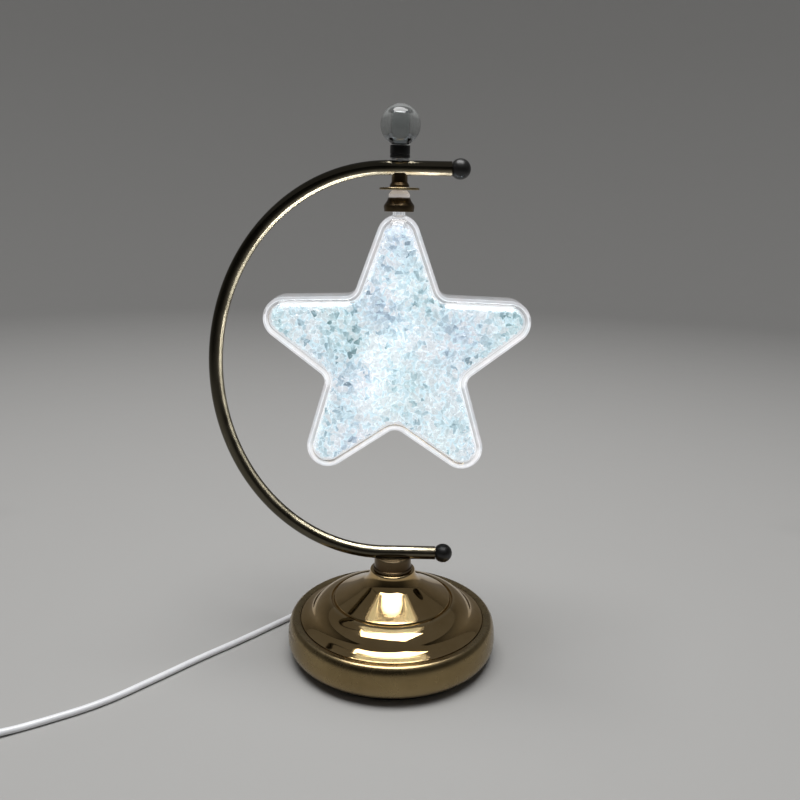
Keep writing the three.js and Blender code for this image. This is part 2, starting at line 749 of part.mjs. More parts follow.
// ---- inline switch, built along X about its own middle ----
function buildSwitch() {
  const group = new THREE.Group();
  group.position.set(SWITCH_X, SWITCH_Y, 0);
  group.rotation.z = SWITCH_HEADING;
  lampGroup.add(group);
  const [length, width, wall] = [SWITCH_LENGTH, SWITCH_WIDTH, SWITCH_WALL];
  const [inLength, inWidth] = [length - 2 * wall - 14, width - 2 * wall]; // between the screw posts
  const outline = (low, high) => {
    const shape = new THREE.Shape();
    const [x, y] = [length / 2 - SWITCH_CORNER_R, width / 2 - SWITCH_CORNER_R];
    const corners = [[x, y], [-x, y], [-x, -y], [x, -y]];
    corners.forEach(([cx, cy], i) => {
      shape.absarc(cx, cy, SWITCH_CORNER_R, (i * Math.PI) / 2, ((i + 1) * Math.PI) / 2);
    });
    return new THREE.ExtrudeGeometry(shape, {
      depth: high - low,
      bevelEnabled: false,
      curveSegments: 2,
    }).translate(0, 0, low);
  };
  const cordHoles = [-1, 1].map((side) =>
    alongX(drum(CORD_R + GAP, -8, 8, 0, 12)).translate((side * length) / 2, 0, 5),
  );
  const posts = [-1, 1].map((side) => [side * (length / 2 - 7), 4.6]);
  const screwBores = posts.map(([x, y]) => drum(SWITCH_SCREW_R + GAP, 0, 9.2, 0, 12).translate(x, y, 0));
  const base = cut(
    outline(0.1, SWITCH_SPLIT_Z - GAP / 2),
    block(0, 0, 5.1, inLength, inWidth, 7),
    ...cordHoles,
    ...screwBores,
  );
  place("switch_base", base, greyPlastic, group);
  const cover = cut(
    outline(SWITCH_SPLIT_Z + GAP / 2, SWITCH_TOP_Z),
    block(0, 0, SWITCH_TOP_Z - wall - 4, inLength, inWidth, 8),
    block(0, 0, SWITCH_TOP_Z, ROCKER_LENGTH + 1.2, ROCKER_WIDTH + 1, 8),
    ...cordHoles,
    ...screwBores,
  );
  place("switch_cover", cover, greyPlastic, group);
  posts.forEach(([x, y], i) => {
    const screw = drum(SWITCH_SCREW_R, 0.5, 8.6, 0, 10);
    place(`switch_screw_${i + 1}`, screw, steel, group).position.set(x, y, 0);
  });
  place("switch_rocker", rocker(), blackGloss, group);
}

// The rocker's hollowed top and rounded underside, tipped to the side that is on.
function rocker() {
  const shape = new THREE.Shape();
  const end = ROCKER_LENGTH / 2;
  shape.moveTo(-end, -1.6);
  shape.quadraticCurveTo(0, -4.4, end, -1.6);
  shape.lineTo(end, 3.4);
  shape.quadraticCurveTo(0, 1.4, -end, 3.4);
  shape.closePath();
  return new THREE.ExtrudeGeometry(shape, {
    depth: ROCKER_WIDTH,
    bevelEnabled: false,
    curveSegments: 8,
  })
    .translate(0, 0, -ROCKER_WIDTH / 2)
    .rotateX(Math.PI / 2)
    .rotateY(-ROCKER_TILT)
    .translate(0, 0, ROCKER_PIVOT_Z);
}

// ---- plug, built along X with its contacts towards +X ----
function buildPlug() {
  const group = new THREE.Group();
  group.position.set(PLUG_X, PLUG_Y, PLUG_Z);
  lampGroup.add(group);
  const grip = new THREE.Shape();
  grip.moveTo(-22, -2.6);
  grip.lineTo(-17, -6);
  grip.quadraticCurveTo(-8, -7.2, 0, -7.6);
  grip.lineTo(0, 7.6);
  grip.quadraticCurveTo(-8, 7.2, -17, 6);
  grip.lineTo(-22, 2.6);
  grip.closePath();
  const body = new THREE.ExtrudeGeometry(grip, {
    depth: 7.6,
    bevelEnabled: false,
    curveSegments: 4,
  }).translate(0, 0, -3.8);
  place("plug_grip", body, greyPlastic, group);
  const shell = cut(block(6.3, 0, 0, 12, 12, 4.5), block(6.8, 0, 0, 12, 11.2, 3.7));
  place("plug_shell", shell, steel, group);
  place("plug_tongue", block(6.3, 0, 0.7, 9, 10, 1.6), whitePlastic, group);
}

buildBase();
buildArm();
buildFinial();
buildHolder();
buildLight();
buildStar();
buildCords();
buildSwitch();
buildPlug();

export default lampGroup;
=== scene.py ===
"""Looks of a star night lamp with crackled glass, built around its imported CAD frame.

Everything is in metres in the frame's own axes: +Z up, +X towards the arm's open side.
Profiles and small sizes are given in millimetres and multiplied by MM where meshes are made.
"""
import json
import random
from math import acos, asin, atan2, cos, exp, pi, radians, sin, tan

import bmesh
import bpy
import numpy as np
from mathutils import Euler, Matrix, Vector, noise


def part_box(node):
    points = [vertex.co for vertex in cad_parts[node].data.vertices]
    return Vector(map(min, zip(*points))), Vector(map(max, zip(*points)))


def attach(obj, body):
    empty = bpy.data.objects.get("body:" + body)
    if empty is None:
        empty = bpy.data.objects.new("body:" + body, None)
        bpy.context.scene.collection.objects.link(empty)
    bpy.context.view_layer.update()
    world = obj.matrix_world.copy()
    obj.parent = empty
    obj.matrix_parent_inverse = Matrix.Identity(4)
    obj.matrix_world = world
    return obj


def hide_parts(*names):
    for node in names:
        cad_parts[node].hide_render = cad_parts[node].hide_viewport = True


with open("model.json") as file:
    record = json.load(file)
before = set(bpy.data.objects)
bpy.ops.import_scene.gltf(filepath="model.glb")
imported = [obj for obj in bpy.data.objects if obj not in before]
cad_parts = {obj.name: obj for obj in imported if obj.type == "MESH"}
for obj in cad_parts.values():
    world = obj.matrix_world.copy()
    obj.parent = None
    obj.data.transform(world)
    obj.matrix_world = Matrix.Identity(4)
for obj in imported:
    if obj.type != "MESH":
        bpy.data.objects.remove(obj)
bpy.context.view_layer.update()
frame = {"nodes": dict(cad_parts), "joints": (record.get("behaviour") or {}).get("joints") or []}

MM = 0.001
SHARP_ANGLE = radians(32)


def reach(node):
    """(largest distance from the Z axis along X or Y, lowest Z, highest Z) of a node, in mm."""
    low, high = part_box(node)
    radius = max(abs(low.x), abs(high.x), abs(low.y), abs(high.y))
    return radius / MM, low.z / MM, high.z / MM


def middle_of(node):
    """The middle of a node's box, in metres."""
    low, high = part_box(node)
    return (low + high) / 2


def size_of(node):
    """The size of a node's box, in mm."""
    low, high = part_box(node)
    return (high - low) / MM


def clamp(value):
    return min(1.0, max(0.0, value))


def smoothstep(low, high, value):
    t = clamp((value - low) / (high - low))
    return t * t * (3 - 2 * t)


def add_object(name, data):
    thing = bpy.data.objects.new(name, data)
    bpy.context.scene.collection.objects.link(thing)
    return thing


# ---- camera ----
CAMERA_PLACE = Vector((0.0024, -0.4236, 0.2581))
CAMERA_PITCH = radians(14.19)
CAMERA_ROLL = radians(1.12)


def make_camera():
    camera = add_object("camera", bpy.data.cameras.new("camera"))
    camera.data.lens = 36
    camera.data.sensor_width = 36
    camera.data.clip_start = 0.01
    turn = Matrix.Rotation(pi / 2 - CAMERA_PITCH, 4, "X") @ Matrix.Rotation(CAMERA_ROLL, 4, "Z")
    camera.matrix_world = Matrix.Translation(CAMERA_PLACE) @ turn
    bpy.context.scene.camera = camera


make_camera()


# ---- materials ----
class Surface:
    """A Principled material and short ways to add the nodes that drive it."""

    def __init__(self, name, **values):
        self.material = bpy.data.materials.new(name)
        self.material.use_nodes = True
        self.tree = self.material.node_tree
        self.shader = self.tree.nodes["Principled BSDF"]
        for socket, value in values.items():
            self.shader.inputs[socket.replace("_", " ").title().replace("Ior", "IOR")].default_value = value
        self.place = self.add("TexCoord").outputs["Object"]

    def add(self, kind, settings=None, **inputs):
        """A shader node, with sockets fed by name, or by index where the name is _0, _1 and so on."""
        node = self.tree.nodes.new("ShaderNode" + kind)
        for key, value in (settings or {}).items():
            setattr(node, key, value)
        for key, value in inputs.items():
            socket = node.inputs[int(key[1:]) if key[0] == "_" else key.replace("_", " ")]
            self.feed(socket, value)
        return node

    def feed(self, socket, value):
        if isinstance(value, bpy.types.NodeSocket):
            self.tree.links.new(value, socket)
        else:
            socket.default_value = value

    def drive(self, name, value):
        self.feed(self.shader.inputs[name], value)

    def noise(self, scale, detail=3.0, roughness=0.5, place=None, distortion=0.0):
        node = self.add(
            "TexNoise", Vector=place or self.place, Scale=scale, Detail=detail,
            Roughness=roughness, Distortion=distortion,
        )
        return node.outputs["Fac"]

    def math(self, operation, a, b=0.0):
        return self.add("Math", {"operation": operation}, _0=a, _1=b).outputs[0]

    def span(self, value, low, high, from_low=0.3, from_high=0.7):
        """value, stretched from one range to another and clamped."""
        node = self.add("MapRange", Value=value)
        ends = {"From Min": from_low, "From Max": from_high, "To Min": low, "To Max": high}
        for key, number in ends.items():
            node.inputs[key].default_value = number
        return node.outputs["Result"]

    def ramp(self, value, *stops):
        """stops are (position, colour)."""
        node = self.add("ValToRGB", Fac=value)
        elements = node.color_ramp.elements
        while len(elements) < len(stops):
            elements.new(1.0)
        for element, (position, colour) in zip(elements, stops):
            element.position = position
            element.color = (*colour, 1)
        return node.outputs["Color"]

    def mix(self, share, a, b):
        """Colour a, blended with colour b by its share."""
        node = self.add("Mix", {"data_type": "RGBA"}, _0=share)
        self.feed(node.inputs["A"], a)
        self.feed(node.inputs["B"], b)
        return node.outputs["Result"]

    def bump(self, height, distance, strength=1.0, under=None):
        node = self.add("Bump", Height=height, Distance=distance, Strength=strength)
        if under is not None:
            self.feed(node.inputs["Normal"], under)
        return node.outputs["Normal"]

    def from_axis(self):
        """The distance from the Z axis, and the place's own X, Y and Z."""
        parts = self.add("SeparateXYZ", Vector=self.place).outputs
        flat = self.add("CombineXYZ", X=parts["X"], Y=parts["Y"]).outputs[0]
        length = self.add("VectorMath", {"operation": "LENGTH"}, _0=flat)
        return length.outputs["Value"], parts

    def rings(self, scale):
        """Noise that runs round the Z axis without a change, as a lathe's marks do."""
        radius, parts = self.from_axis()
        ring = self.add("CombineXYZ", X=radius, Y=parts["Z"]).outputs[0]
        return self.noise(scale, detail=2.0, place=ring)


def plated(
    name, dark, bright, rough_low, rough_high, lathed=True, worn=(0.8, 0.66, 0.42), grain=0.2,
    metallic=1.0, glow=0.0,
):
    """Metal plate: cloudy polish, fine turning marks, and edges rubbed a little brighter.

    glow is painted light: an emission in the piece's own colour that stands for light the lit star throws on
    it."""
    s = Surface(name, metallic=metallic)
    cloud = s.noise(38, detail=4.0, roughness=0.6)
    colour = s.ramp(cloud, (0.3, dark), (0.7, bright))
    convex = s.span(s.add("NewGeometry").outputs["Pointiness"], 0.0, 0.5, 0.5, 0.56)
    s.drive("Base Color", s.mix(convex, colour, (*worn, 1)))
    smudge = s.noise(95, detail=5.0, roughness=0.65, distortion=0.4)
    s.drive("Roughness", s.span(smudge, rough_low, rough_high, 0.35, 0.7))
    peel = s.bump(s.noise(420, detail=1.0), 0.00002, grain)
    marks = s.rings(5200) if lathed else s.noise(2600, detail=2.0)
    s.drive("Normal", s.bump(marks, 0.000004, 0.4, peel))
    # Painted light: the piece glows in its own colour.
    if glow:
        s.drive("Emission Color", colour)
        s.drive("Emission Strength", s.span(smudge, 0.8 * glow, 1.2 * glow))
    return s.material


def moulded(name, dark, bright, rough_low, rough_high, grain=1800, coat=0.0):
    """Moulded plastic with a fine grain and a faint uneven tone."""
    s = Surface(name, specular_ior_level=0.5, coat_weight=coat, coat_roughness=0.12)
    s.drive("Base Color", s.ramp(s.noise(60, detail=4.0), (0.3, dark), (0.7, bright)))
    s.drive("Roughness", s.span(s.noise(240, detail=4.0), rough_low, rough_high))
    s.drive("Normal", s.bump(s.noise(grain), 0.00003, 0.6))
    return s.material


def clear_glass(name, tint, wave, roughness=0.0):
    """Clear glass, its surface a little wavy and here and there less clean."""
    s = Surface(name, base_color=(*tint, 1), transmission_weight=1.0, ior=1.47, roughness=roughness)
    s.drive("Roughness", s.span(s.noise(160), roughness, roughness + 0.035, 0.5, 0.85))
    s.drive("Normal", s.bump(s.noise(70, detail=2.0), wave, 0.5))
    return s


def rim_lit_glass():
    """Clear glass whose edge wall, marked by the mesh's rim_painted_glow values, glows with painted light
    that stands for the lamp's light in the wall.
    """
    s = clear_glass("shell_glass", (0.965, 0.98, 1.0), 0.00012, 0.01)
    rim_painted_glow = s.add("Attribute", {"attribute_name": "rim_painted_glow"}).outputs["Fac"]
    cold, warm = (0.88, 0.96, 1.0), (1.0, 0.95, 0.96)
    s.drive("Emission Color", s.ramp(s.noise(110), (0.3, cold), (0.65, warm)))
    inner_face = s.add("NewGeometry").outputs["Backfacing"]
    outer_most = s.math("SUBTRACT", 1.0, s.math("MULTIPLY", inner_face, 0.3))
    glow = s.math("MULTIPLY", rim_painted_glow, s.span(s.noise(200), 0.22, 0.33))
    s.drive("Emission Strength", s.math("MULTIPLY", glow, outer_most))
    return s.material


def ice_material():
    """Crushed glass with painted light from inside: it glows by emission, and each facet takes its tone from
    the mesh's own colours.

    Red holds the facet's tone, brightened by painted lamp light, green its tint, blue the painted lamp light
    that falls on it."""
    s = Surface("ice_glass", specular_ior_level=0.6, coat_weight=0.4, coat_roughness=0.08)
    facets = s.add("Attribute", {"attribute_name": "ice"}).outputs["Color"]
    tone, tint, near_painted_light = s.add("SeparateColor", Color=facets).outputs
    cold = s.ramp(
        tone, (0.0, (0.24, 0.38, 0.40)), (0.22, (0.40, 0.58, 0.63)), (0.45, (0.64, 0.84, 0.88)),
        (0.75, (0.88, 0.98, 1.0)),
    )
    violet = s.ramp(
        tone, (0.0, (0.30, 0.38, 0.48)), (0.25, (0.50, 0.61, 0.74)), (0.5, (0.75, 0.86, 0.95)),
        (0.8, (0.96, 0.96, 1.0)),
    )
    colour = s.mix(tint, cold, violet)
    grit = s.noise(700)
    body = s.add("VectorMath", {"operation": "SCALE"}, _0=colour, Scale=0.35).outputs[0]
    s.drive("Base Color", body)
    s.drive("Roughness", s.span(grit, 0.12, 0.35))
    s.drive("Emission Color", colour)
    # Painted light: the lining glows everywhere, and more where the painted lamp light falls.
    glow = s.math("ADD", s.math("MULTIPLY", near_painted_light, 0.16), 0.74)
    s.drive("Emission Strength", s.math("MULTIPLY", glow, s.span(grit, 0.85, 1.15)))
    s.drive("Normal", s.bump(grit, 0.0001, 0.5))
    return s.material


def lamp_material():
    s = Surface("lamp", roughness=0.4)
    grains = s.add("TexVoronoi", Vector=s.place, Scale=900).outputs["Distance"]
    s.drive("Base Color", s.ramp(grains, (0.0, (0.95, 0.86, 0.45)), (0.6, (1.0, 0.95, 0.75))))
    s.drive("Emission Color", s.ramp(s.noise(400), (0.3, (0.92, 0.96, 1.0)), (0.7, (1.0, 1.0, 1.0))))
    s.drive("Emission Strength", 6.0)
    return s.material


def coarse(name, dark, bright, grain, rough_low, rough_high, relief, strength, **values):
    """A material whose tone, roughness and relief all follow one coarse noise."""
    s = Surface(name, **values)
    skin = s.noise(**grain)
    s.drive("Base Color", s.ramp(skin, (0.3, dark), (0.7, bright)))
    s.drive("Roughness", s.span(skin, rough_low, rough_high))
    s.drive("Normal", s.bump(skin, relief, strength))
    return s.material


def stage_material():
    """Painted light and shade: pale round the lamp and behind it, and painted darker towards the camera's
    side, far from the lamp, standing for the shade on that side of the room.
    """
    s = Surface("stage", specular_ior_level=0.2)
    radius, parts = s.from_axis()
    near_painted_light = s.span(radius, 1.0, 0.0, 0.36, 0.85)
    behind_lamp = s.span(s.math("DIVIDE", parts["Y"], radius), 0.0, 1.0, -0.7, 0.55)
    painted_light_share = s.math("MAXIMUM", near_painted_light, behind_lamp)
    s.drive("Base Color", s.ramp(painted_light_share, (0.0, (0.08, 0.079, 0.076)), (1.0, (0.40, 0.395, 0.385))))
    s.drive("Roughness", s.span(s.noise(30), 0.7, 0.8))
    return s.material


GOLD = plated("gold_polished", (0.47, 0.315, 0.135), (0.62, 0.44, 0.215), 0.04, 0.08)
# Painted shade: the arm's gold is darkened nearly to black, a shaded copy of the polished gold, standing for
# the dark reflections along the tube.
ARM_GOLD_PAINTED_DARK = plated(
    "gold_arm_painted_dark", (0.072, 0.064, 0.045), (0.105, 0.094, 0.068), 0.17, 0.27, lathed=False,
    worn=(0.2, 0.17, 0.12),
)
SATIN = plated("gold_satin", (0.20, 0.14, 0.06), (0.27, 0.195, 0.088), 0.24, 0.34, grain=0.08)
# Painted light: the barrel's gold gets a pale cream tone and a glow, standing for the bright reflection and
# the star's light on it.
PAINTED_LIT_GOLD = plated(
    "gold_painted_lit", (0.86, 0.78, 0.72), (0.93, 0.87, 0.82), 0.32, 0.42, worn=(0.95, 0.92, 0.88),
    metallic=0.2, glow=0.3,
)
BRONZE = plated("bronze", (0.055, 0.035, 0.016), (0.10, 0.065, 0.034), 0.26, 0.38, worn=(0.5, 0.4, 0.25))
STEEL = plated(
    "steel", (0.52, 0.53, 0.55), (0.66, 0.67, 0.68), 0.22, 0.36, lathed=False, worn=(0.8, 0.8, 0.82),
)
BLACK = moulded("black_gloss", (0.007, 0.007, 0.007), (0.017, 0.016, 0.015), 0.26, 0.42)
GREY = moulded("grey_plastic", (0.60, 0.61, 0.62), (0.70, 0.71, 0.72), 0.38, 0.5)
WHITE = moulded("white_plastic", (0.80, 0.80, 0.79), (0.88, 0.88, 0.87), 0.4, 0.5)
VINYL = moulded("cord_vinyl", (0.80, 0.81, 0.83), (0.88, 0.89, 0.91), 0.26, 0.4, grain=600, coat=0.25)
WIRE = moulded("red_wire", (0.42, 0.05, 0.04), (0.55, 0.08, 0.06), 0.3, 0.42)
CRYSTAL = clear_glass("crystal", (0.76, 0.79, 0.79), 0.00002).material
SHELL_GLASS = rim_lit_glass()
ICE = ice_material()
LAMP = lamp_material()
FELT = coarse(
    "felt", (0.012, 0.013, 0.015), (0.05, 0.052, 0.058),
    dict(scale=1400, detail=6.0, roughness=0.7, distortion=1.2), 0.85, 1.0, 0.0004, 0.8,
    specular_ior_level=0.1, sheen_weight=0.5, sheen_roughness=0.5,
)
IRON = coarse(
    "cast_iron", (0.05, 0.05, 0.052), (0.16, 0.155, 0.15),
    dict(scale=260, detail=8.0, roughness=0.7), 0.55, 0.85, 0.0005, 0.7, metallic=1.0,
)
STAGE = stage_material()


# ---- meshes ----
def finish_mesh(mesh, sharp_angle=SHARP_ANGLE):
    mesh.polygons.foreach_set("use_smooth", [True] * len(mesh.polygons))
    mesh.set_sharp_from_angle(angle=sharp_angle)


def add_solid(name, solid, mesh, material, sharp_angle=SHARP_ANGLE):
    """An object with the bmesh solid written into its mesh."""
    solid.to_mesh(mesh)
    solid.free()
    finish_mesh(mesh, sharp_angle)
    mesh.materials.append(material)
    return add_object(name, mesh)


def add_mesh(name, vertices, faces, material, sharp_angle=SHARP_ANGLE):
    """A closed mesh from points in metres, its faces turned outwards."""
    mesh = bpy.data.meshes.new(name)
    mesh.from_pydata(vertices, [], faces)
    solid = bmesh.new()
    solid.from_mesh(mesh)
    bmesh.ops.recalc_face_normals(solid, faces=solid.faces)
    return add_solid(name, solid, mesh, material, sharp_angle)


def band(a, b, count):
    """The faces between two rings of count vertices, the first of which have indices a and b."""
    return [(a + i, a + (i + 1) % count, b + (i + 1) % count, b + i) for i in range(count)]


def stacked(rings):
    """The vertices and faces of a solid whose sections are rings of equally many points."""
    count = len(rings[0])
    last = count * (len(rings) - 1)
    faces = [face for start in range(0, last, count) for face in band(start, start + count, count)]
    faces += [tuple(range(count)), tuple(range(last, last + count))]
    return [point for ring in rings for point in ring], faces


def softened(corners, steps=5):
    """A profile's points; a corner given as (r, z, round) is rounded to that radius."""
    points = []
    for i, corner in enumerate(corners):
        here = Vector(corner[:2])
        if len(corner) < 3:
            points.append(tuple(here))
            continue
        to_last = (Vector(corners[i - 1][:2]) - here).normalized()
        to_next = (Vector(corners[(i + 1) % len(corners)][:2]) - here).normalized()
        half = to_last.angle(to_next) / 2
        middle = here + (to_last + to_next).normalized() * corner[2] / sin(half)
        start = here + to_last * corner[2] / tan(half) - middle
        end = here + to_next * corner[2] / tan(half) - middle
        for step in range(steps + 1):
            blend = start.lerp(end, step / steps).normalized() * corner[2]
            points.append(tuple(middle + blend))
    return points


def curve(start, control, end, steps):
    """Points along a quadratic curve, without its start."""
    a, b, c = Vector(start), Vector(control), Vector(end)
    ts = [step / steps for step in range(1, steps + 1)]
    return [tuple(a * (1 - t) ** 2 + b * 2 * t * (1 - t) + c * t * t) for t in ts]


def quarter(radius, steps):
    """(1 - cosine, sine) along a quarter of a circle, times its radius."""
    angles = [pi / 2 * step / steps for step in range(steps + 1)]
    return [(radius * (1 - cos(a)), radius * sin(a)) for a in angles]


def turned(name, profile, material, sides=96, open_profile=False):
    """A profile of (r, z) in mm, turned about Z. It starts and ends on the axis, or is closed."""
    rings, vertices, faces = [], [], []
    for r, z in profile:
        if r < 1e-6:
            rings.append([len(vertices)])
            vertices.append((0, 0, z * MM))
            continue
        rings.append(list(range(len(vertices), len(vertices) + sides)))
        for side in range(sides):
            angle = 2 * pi * side / sides
            vertices.append((r * cos(angle) * MM, r * sin(angle) * MM, z * MM))
    pairs = list(zip(rings, rings[1:]))
    if len(rings[0]) > 1 and not open_profile:
        pairs.append((rings[-1], rings[0]))
    for a, b in pairs:
        for side in range(sides):
            following = (side + 1) % sides
            corners = [a[side % len(a)], a[following % len(a)], b[following % len(b)], b[side % len(b)]]
            corners = list(dict.fromkeys(corners))
            if len(corners) > 2:
                faces.append(corners)
    return add_mesh(name, vertices, faces, material)


def disc(name, node, material, bore, low_round, high_round, sides=96):
    """A disc as wide and as high as the node, with rounded edges and a bore through it."""
    r, low, high = reach(node)
    profile = [(bore, low), (r, low, low_round), (r, high, high_round), (bore, high)]
    return turned(name, softened(profile), material, sides)


def ball_points(radius, middle, open_angle, steps):
    """(r, z) up the outside of a ball that is cut off at open_angle from its lowest point."""
    angles = [(pi - open_angle) * (1 - step / steps) for step in range(steps)]
    points = [(radius * sin(a), middle + radius * cos(a)) for a in angles]
    return points + [(0, middle + radius)]


def apply_modifiers(piece):
    graph = bpy.context.evaluated_depsgraph_get()
    result = bpy.data.meshes.new_from_object(piece.evaluated_get(graph), depsgraph=graph)
    piece.modifiers.clear()
    piece.data = result


def carve(piece, *tools, operation="DIFFERENCE"):
    """Cuts each tool from the piece, or joins or intersects it, and removes the tool."""
    for tool in tools:
        modifier = piece.modifiers.new("carve", "BOOLEAN")
        modifier.operation = operation
        modifier.solver = "EXACT"
        modifier.object = tool
        apply_modifiers(piece)
        bpy.data.objects.remove(tool)
    material = piece.data.materials[0]
    piece.data.materials.clear()
    piece.data.materials.append(material)
    piece.data.polygons.foreach_set("material_index", [0] * len(piece.data.polygons))
    finish_mesh(piece.data)
    return piece


def soften_edges(piece, radius):
    """Rounds the piece's sharp edges to a radius in mm."""
    modifier = piece.modifiers.new("soft", "BEVEL")
    modifier.width = radius * MM
    modifier.segments = 3
    modifier.limit_method = "ANGLE"
    modifier.angle_limit = radians(40)
    apply_modifiers(piece)
    finish_mesh(piece.data)


def moved(piece, matrix):
    piece.data.transform(matrix)
    return piece


def along_x(piece, x=0.0, z=0.0):
    """Turns a piece made about Z so that it lies along X, then moves it by mm."""
    shift = Matrix.Translation(Vector((x, 0, z)) * MM)
    return moved(piece, shift @ Matrix.Rotation(pi / 2, 4, "Y"))


def along_exit(piece):
    """Turns a piece made about Z so that it lies along the cord's way out of the base."""
    middle = middle_of("strain_relief")
    turn = Matrix.Rotation(atan2(middle.y, middle.x), 4, "Z")
    return moved(along_x(piece, z=middle.z / MM), turn)


def rod(radius, low, high, sides=48):
    """A plain cutting tool about Z."""
    return turned("tool", [(0, low), (radius, low), (radius, high), (0, high)], GREY, sides)


def rounded_box(name, size, radius, material, place=(0, 0, 0), segments=4):
    """A block of size mm with all its edges rounded."""
    solid = bmesh.new()
    bmesh.ops.create_cube(solid, size=1.0)
    bmesh.ops.scale(solid, vec=size, verts=solid.verts)
    sharp = solid.edges[:] + solid.verts[:]
    bmesh.ops.bevel(solid, geom=sharp, offset=radius, segments=segments, profile=0.5, affect="EDGES")
    bmesh.ops.scale(solid, vec=(MM, MM, MM), verts=solid.verts)
    bmesh.ops.translate(solid, vec=Vector(place) * MM, verts=solid.verts)
    return add_solid(name, solid, bpy.data.meshes.new(name), material)


def block(size, radius, place=(0, 0, 0), segments=4):
    """A cutting tool with rounded edges."""
    return rounded_box("tool", size, radius, GREY, place, segments)


def prism(name, outline, width, material):
    """An outline in X and Z, as thick as width along Y."""
    ends = (-width / 2, width / 2)
    rings = [[Vector((x, y, z)) * MM for x, z in outline] for y in ends]
    return add_mesh(name, *stacked(rings), material)


def outfit(piece, slot, *nodes, body="stand"):
    """Puts the piece on the body it rides on and hides the nodes it stands for; slot is not used."""
    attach(piece, body)
    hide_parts(*nodes)
    return piece


# ---- cord ----
CORD_THICK = 0.0035
CORD_R = CORD_THICK / MM / 2

# Turns of the coil lie COIL_PITCH apart, in cells (outwards, upwards), from the first to the last.
# The first starts at COIL_START degrees and the last ends at COIL_END.
COIL_PITCH = 3.7
COIL_CELLS = [(1, 0), (0, 0), (-1, 0), (-1, 1), (-1, 2), (0, 2), (0, 1), (1, 1), (1, 2)]
COIL_START = 312
COIL_END = 107
NEAR_ROUTE = [
    (11.3, 80.4, 7.4), (12, 85.3, 7), (11, 93.2, 5.5), (6, 99.3, 3.8),
    (-1.4, 102.1, 2.4), (-9.2, 100.6, 1.9), (-15.1, 95.4, 1.9), (-30.3, 71.8, 1.9),
    (-45.5, 48.2, 1.9), (-65, 27.7, 1.9), (-89.5, 1, 1.9), (-109.5, -19.5, 1.9),
    (-130, -42, 1.9), (-149, -61.2, 1.9), (-169.5, -75.5, 1.9), (-189, -87, 2.3),
    (-203.6, -95.6, 4.9),
]
SWITCH_ROUTE = [(-213.9, -101.5, 5), (-223.9, -107.3, 5), (-234, -113.2, 5)]
MID_ROUTE = [(-244.2, -119.1, 4.9), (-248.1, -121.4, 4.3), (-252.1, -124.3, 3.7)]
TAIL_ROUTE = [
    (-269.2, -88.9, 8.4), (-263.6, -87, 6.6), (-258.9, -85.6, 5.1), (-254.6, -85, 4.3),
    (-250, -85, 4.2),
]


def coil_turns(steps_per_turn=16):
    """Eight and a half turns, three side by side and three high, clockwise from the outer lowest."""
    low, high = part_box("cord_coil")
    middle = (low + high) / 2 / MM
    section = high.z / MM - low.z / MM
    radius = (high.x - low.x) / 2 / MM - section / 2
    lowest = low.z / MM + CORD_R
    turns = len(COIL_CELLS) - 1 + ((COIL_START - COIL_END) % 360) / 360
    steps = round(turns * steps_per_turn)
    points = []
    for step in range(steps + 1):
        turn = step * turns / steps
        index = min(int(turn), len(COIL_CELLS) - 1)
        here = Vector(COIL_CELLS[index])
        after = Vector(COIL_CELLS[min(index + 1, len(COIL_CELLS) - 1)])
        shift = smoothstep(0.6, 1.0, turn - index)
        outwards = (here + after) / 2 - Vector((0, 1))
        bulge = outwards.normalized() * 0.27 * sin(pi * shift)
        cell = here.lerp(after, shift) + bulge
        r = radius + COIL_PITCH * cell.x
        angle = radians(COIL_START - 360 * turn)
        x, y = middle.x + r * cos(angle), middle.y + r * sin(angle)
        points.append((x, y, lowest + COIL_PITCH * cell.y))
    return points


def make_cord():
    route = NEAR_ROUTE + SWITCH_ROUTE + MID_ROUTE + coil_turns() + TAIL_ROUTE
    line = bpy.data.curves.new("supply_cord", "CURVE")
    line.dimensions = "3D"
    line.resolution_u = 6
    line.bevel_depth = CORD_THICK / 2
    line.bevel_resolution = 5
    line.use_fill_caps = True
    spline = line.splines.new("BEZIER")
    spline.bezier_points.add(len(route) - 1)
    for knot, place in zip(spline.bezier_points, route):
        knot.co = Vector(place) * MM
        knot.handle_left_type = knot.handle_right_type = "AUTO"
    line.materials.append(VINYL)
    cord = add_object("supply_cord", line)
    return outfit(cord, "cord_vinyl", "cord_near", "cord_mid", "cord_tail", "cord_coil")


supply_cord = make_cord()


# ---- base ----
NIPPLE_HOLE_R = 3.3
CRADLE_GAP = 0.3


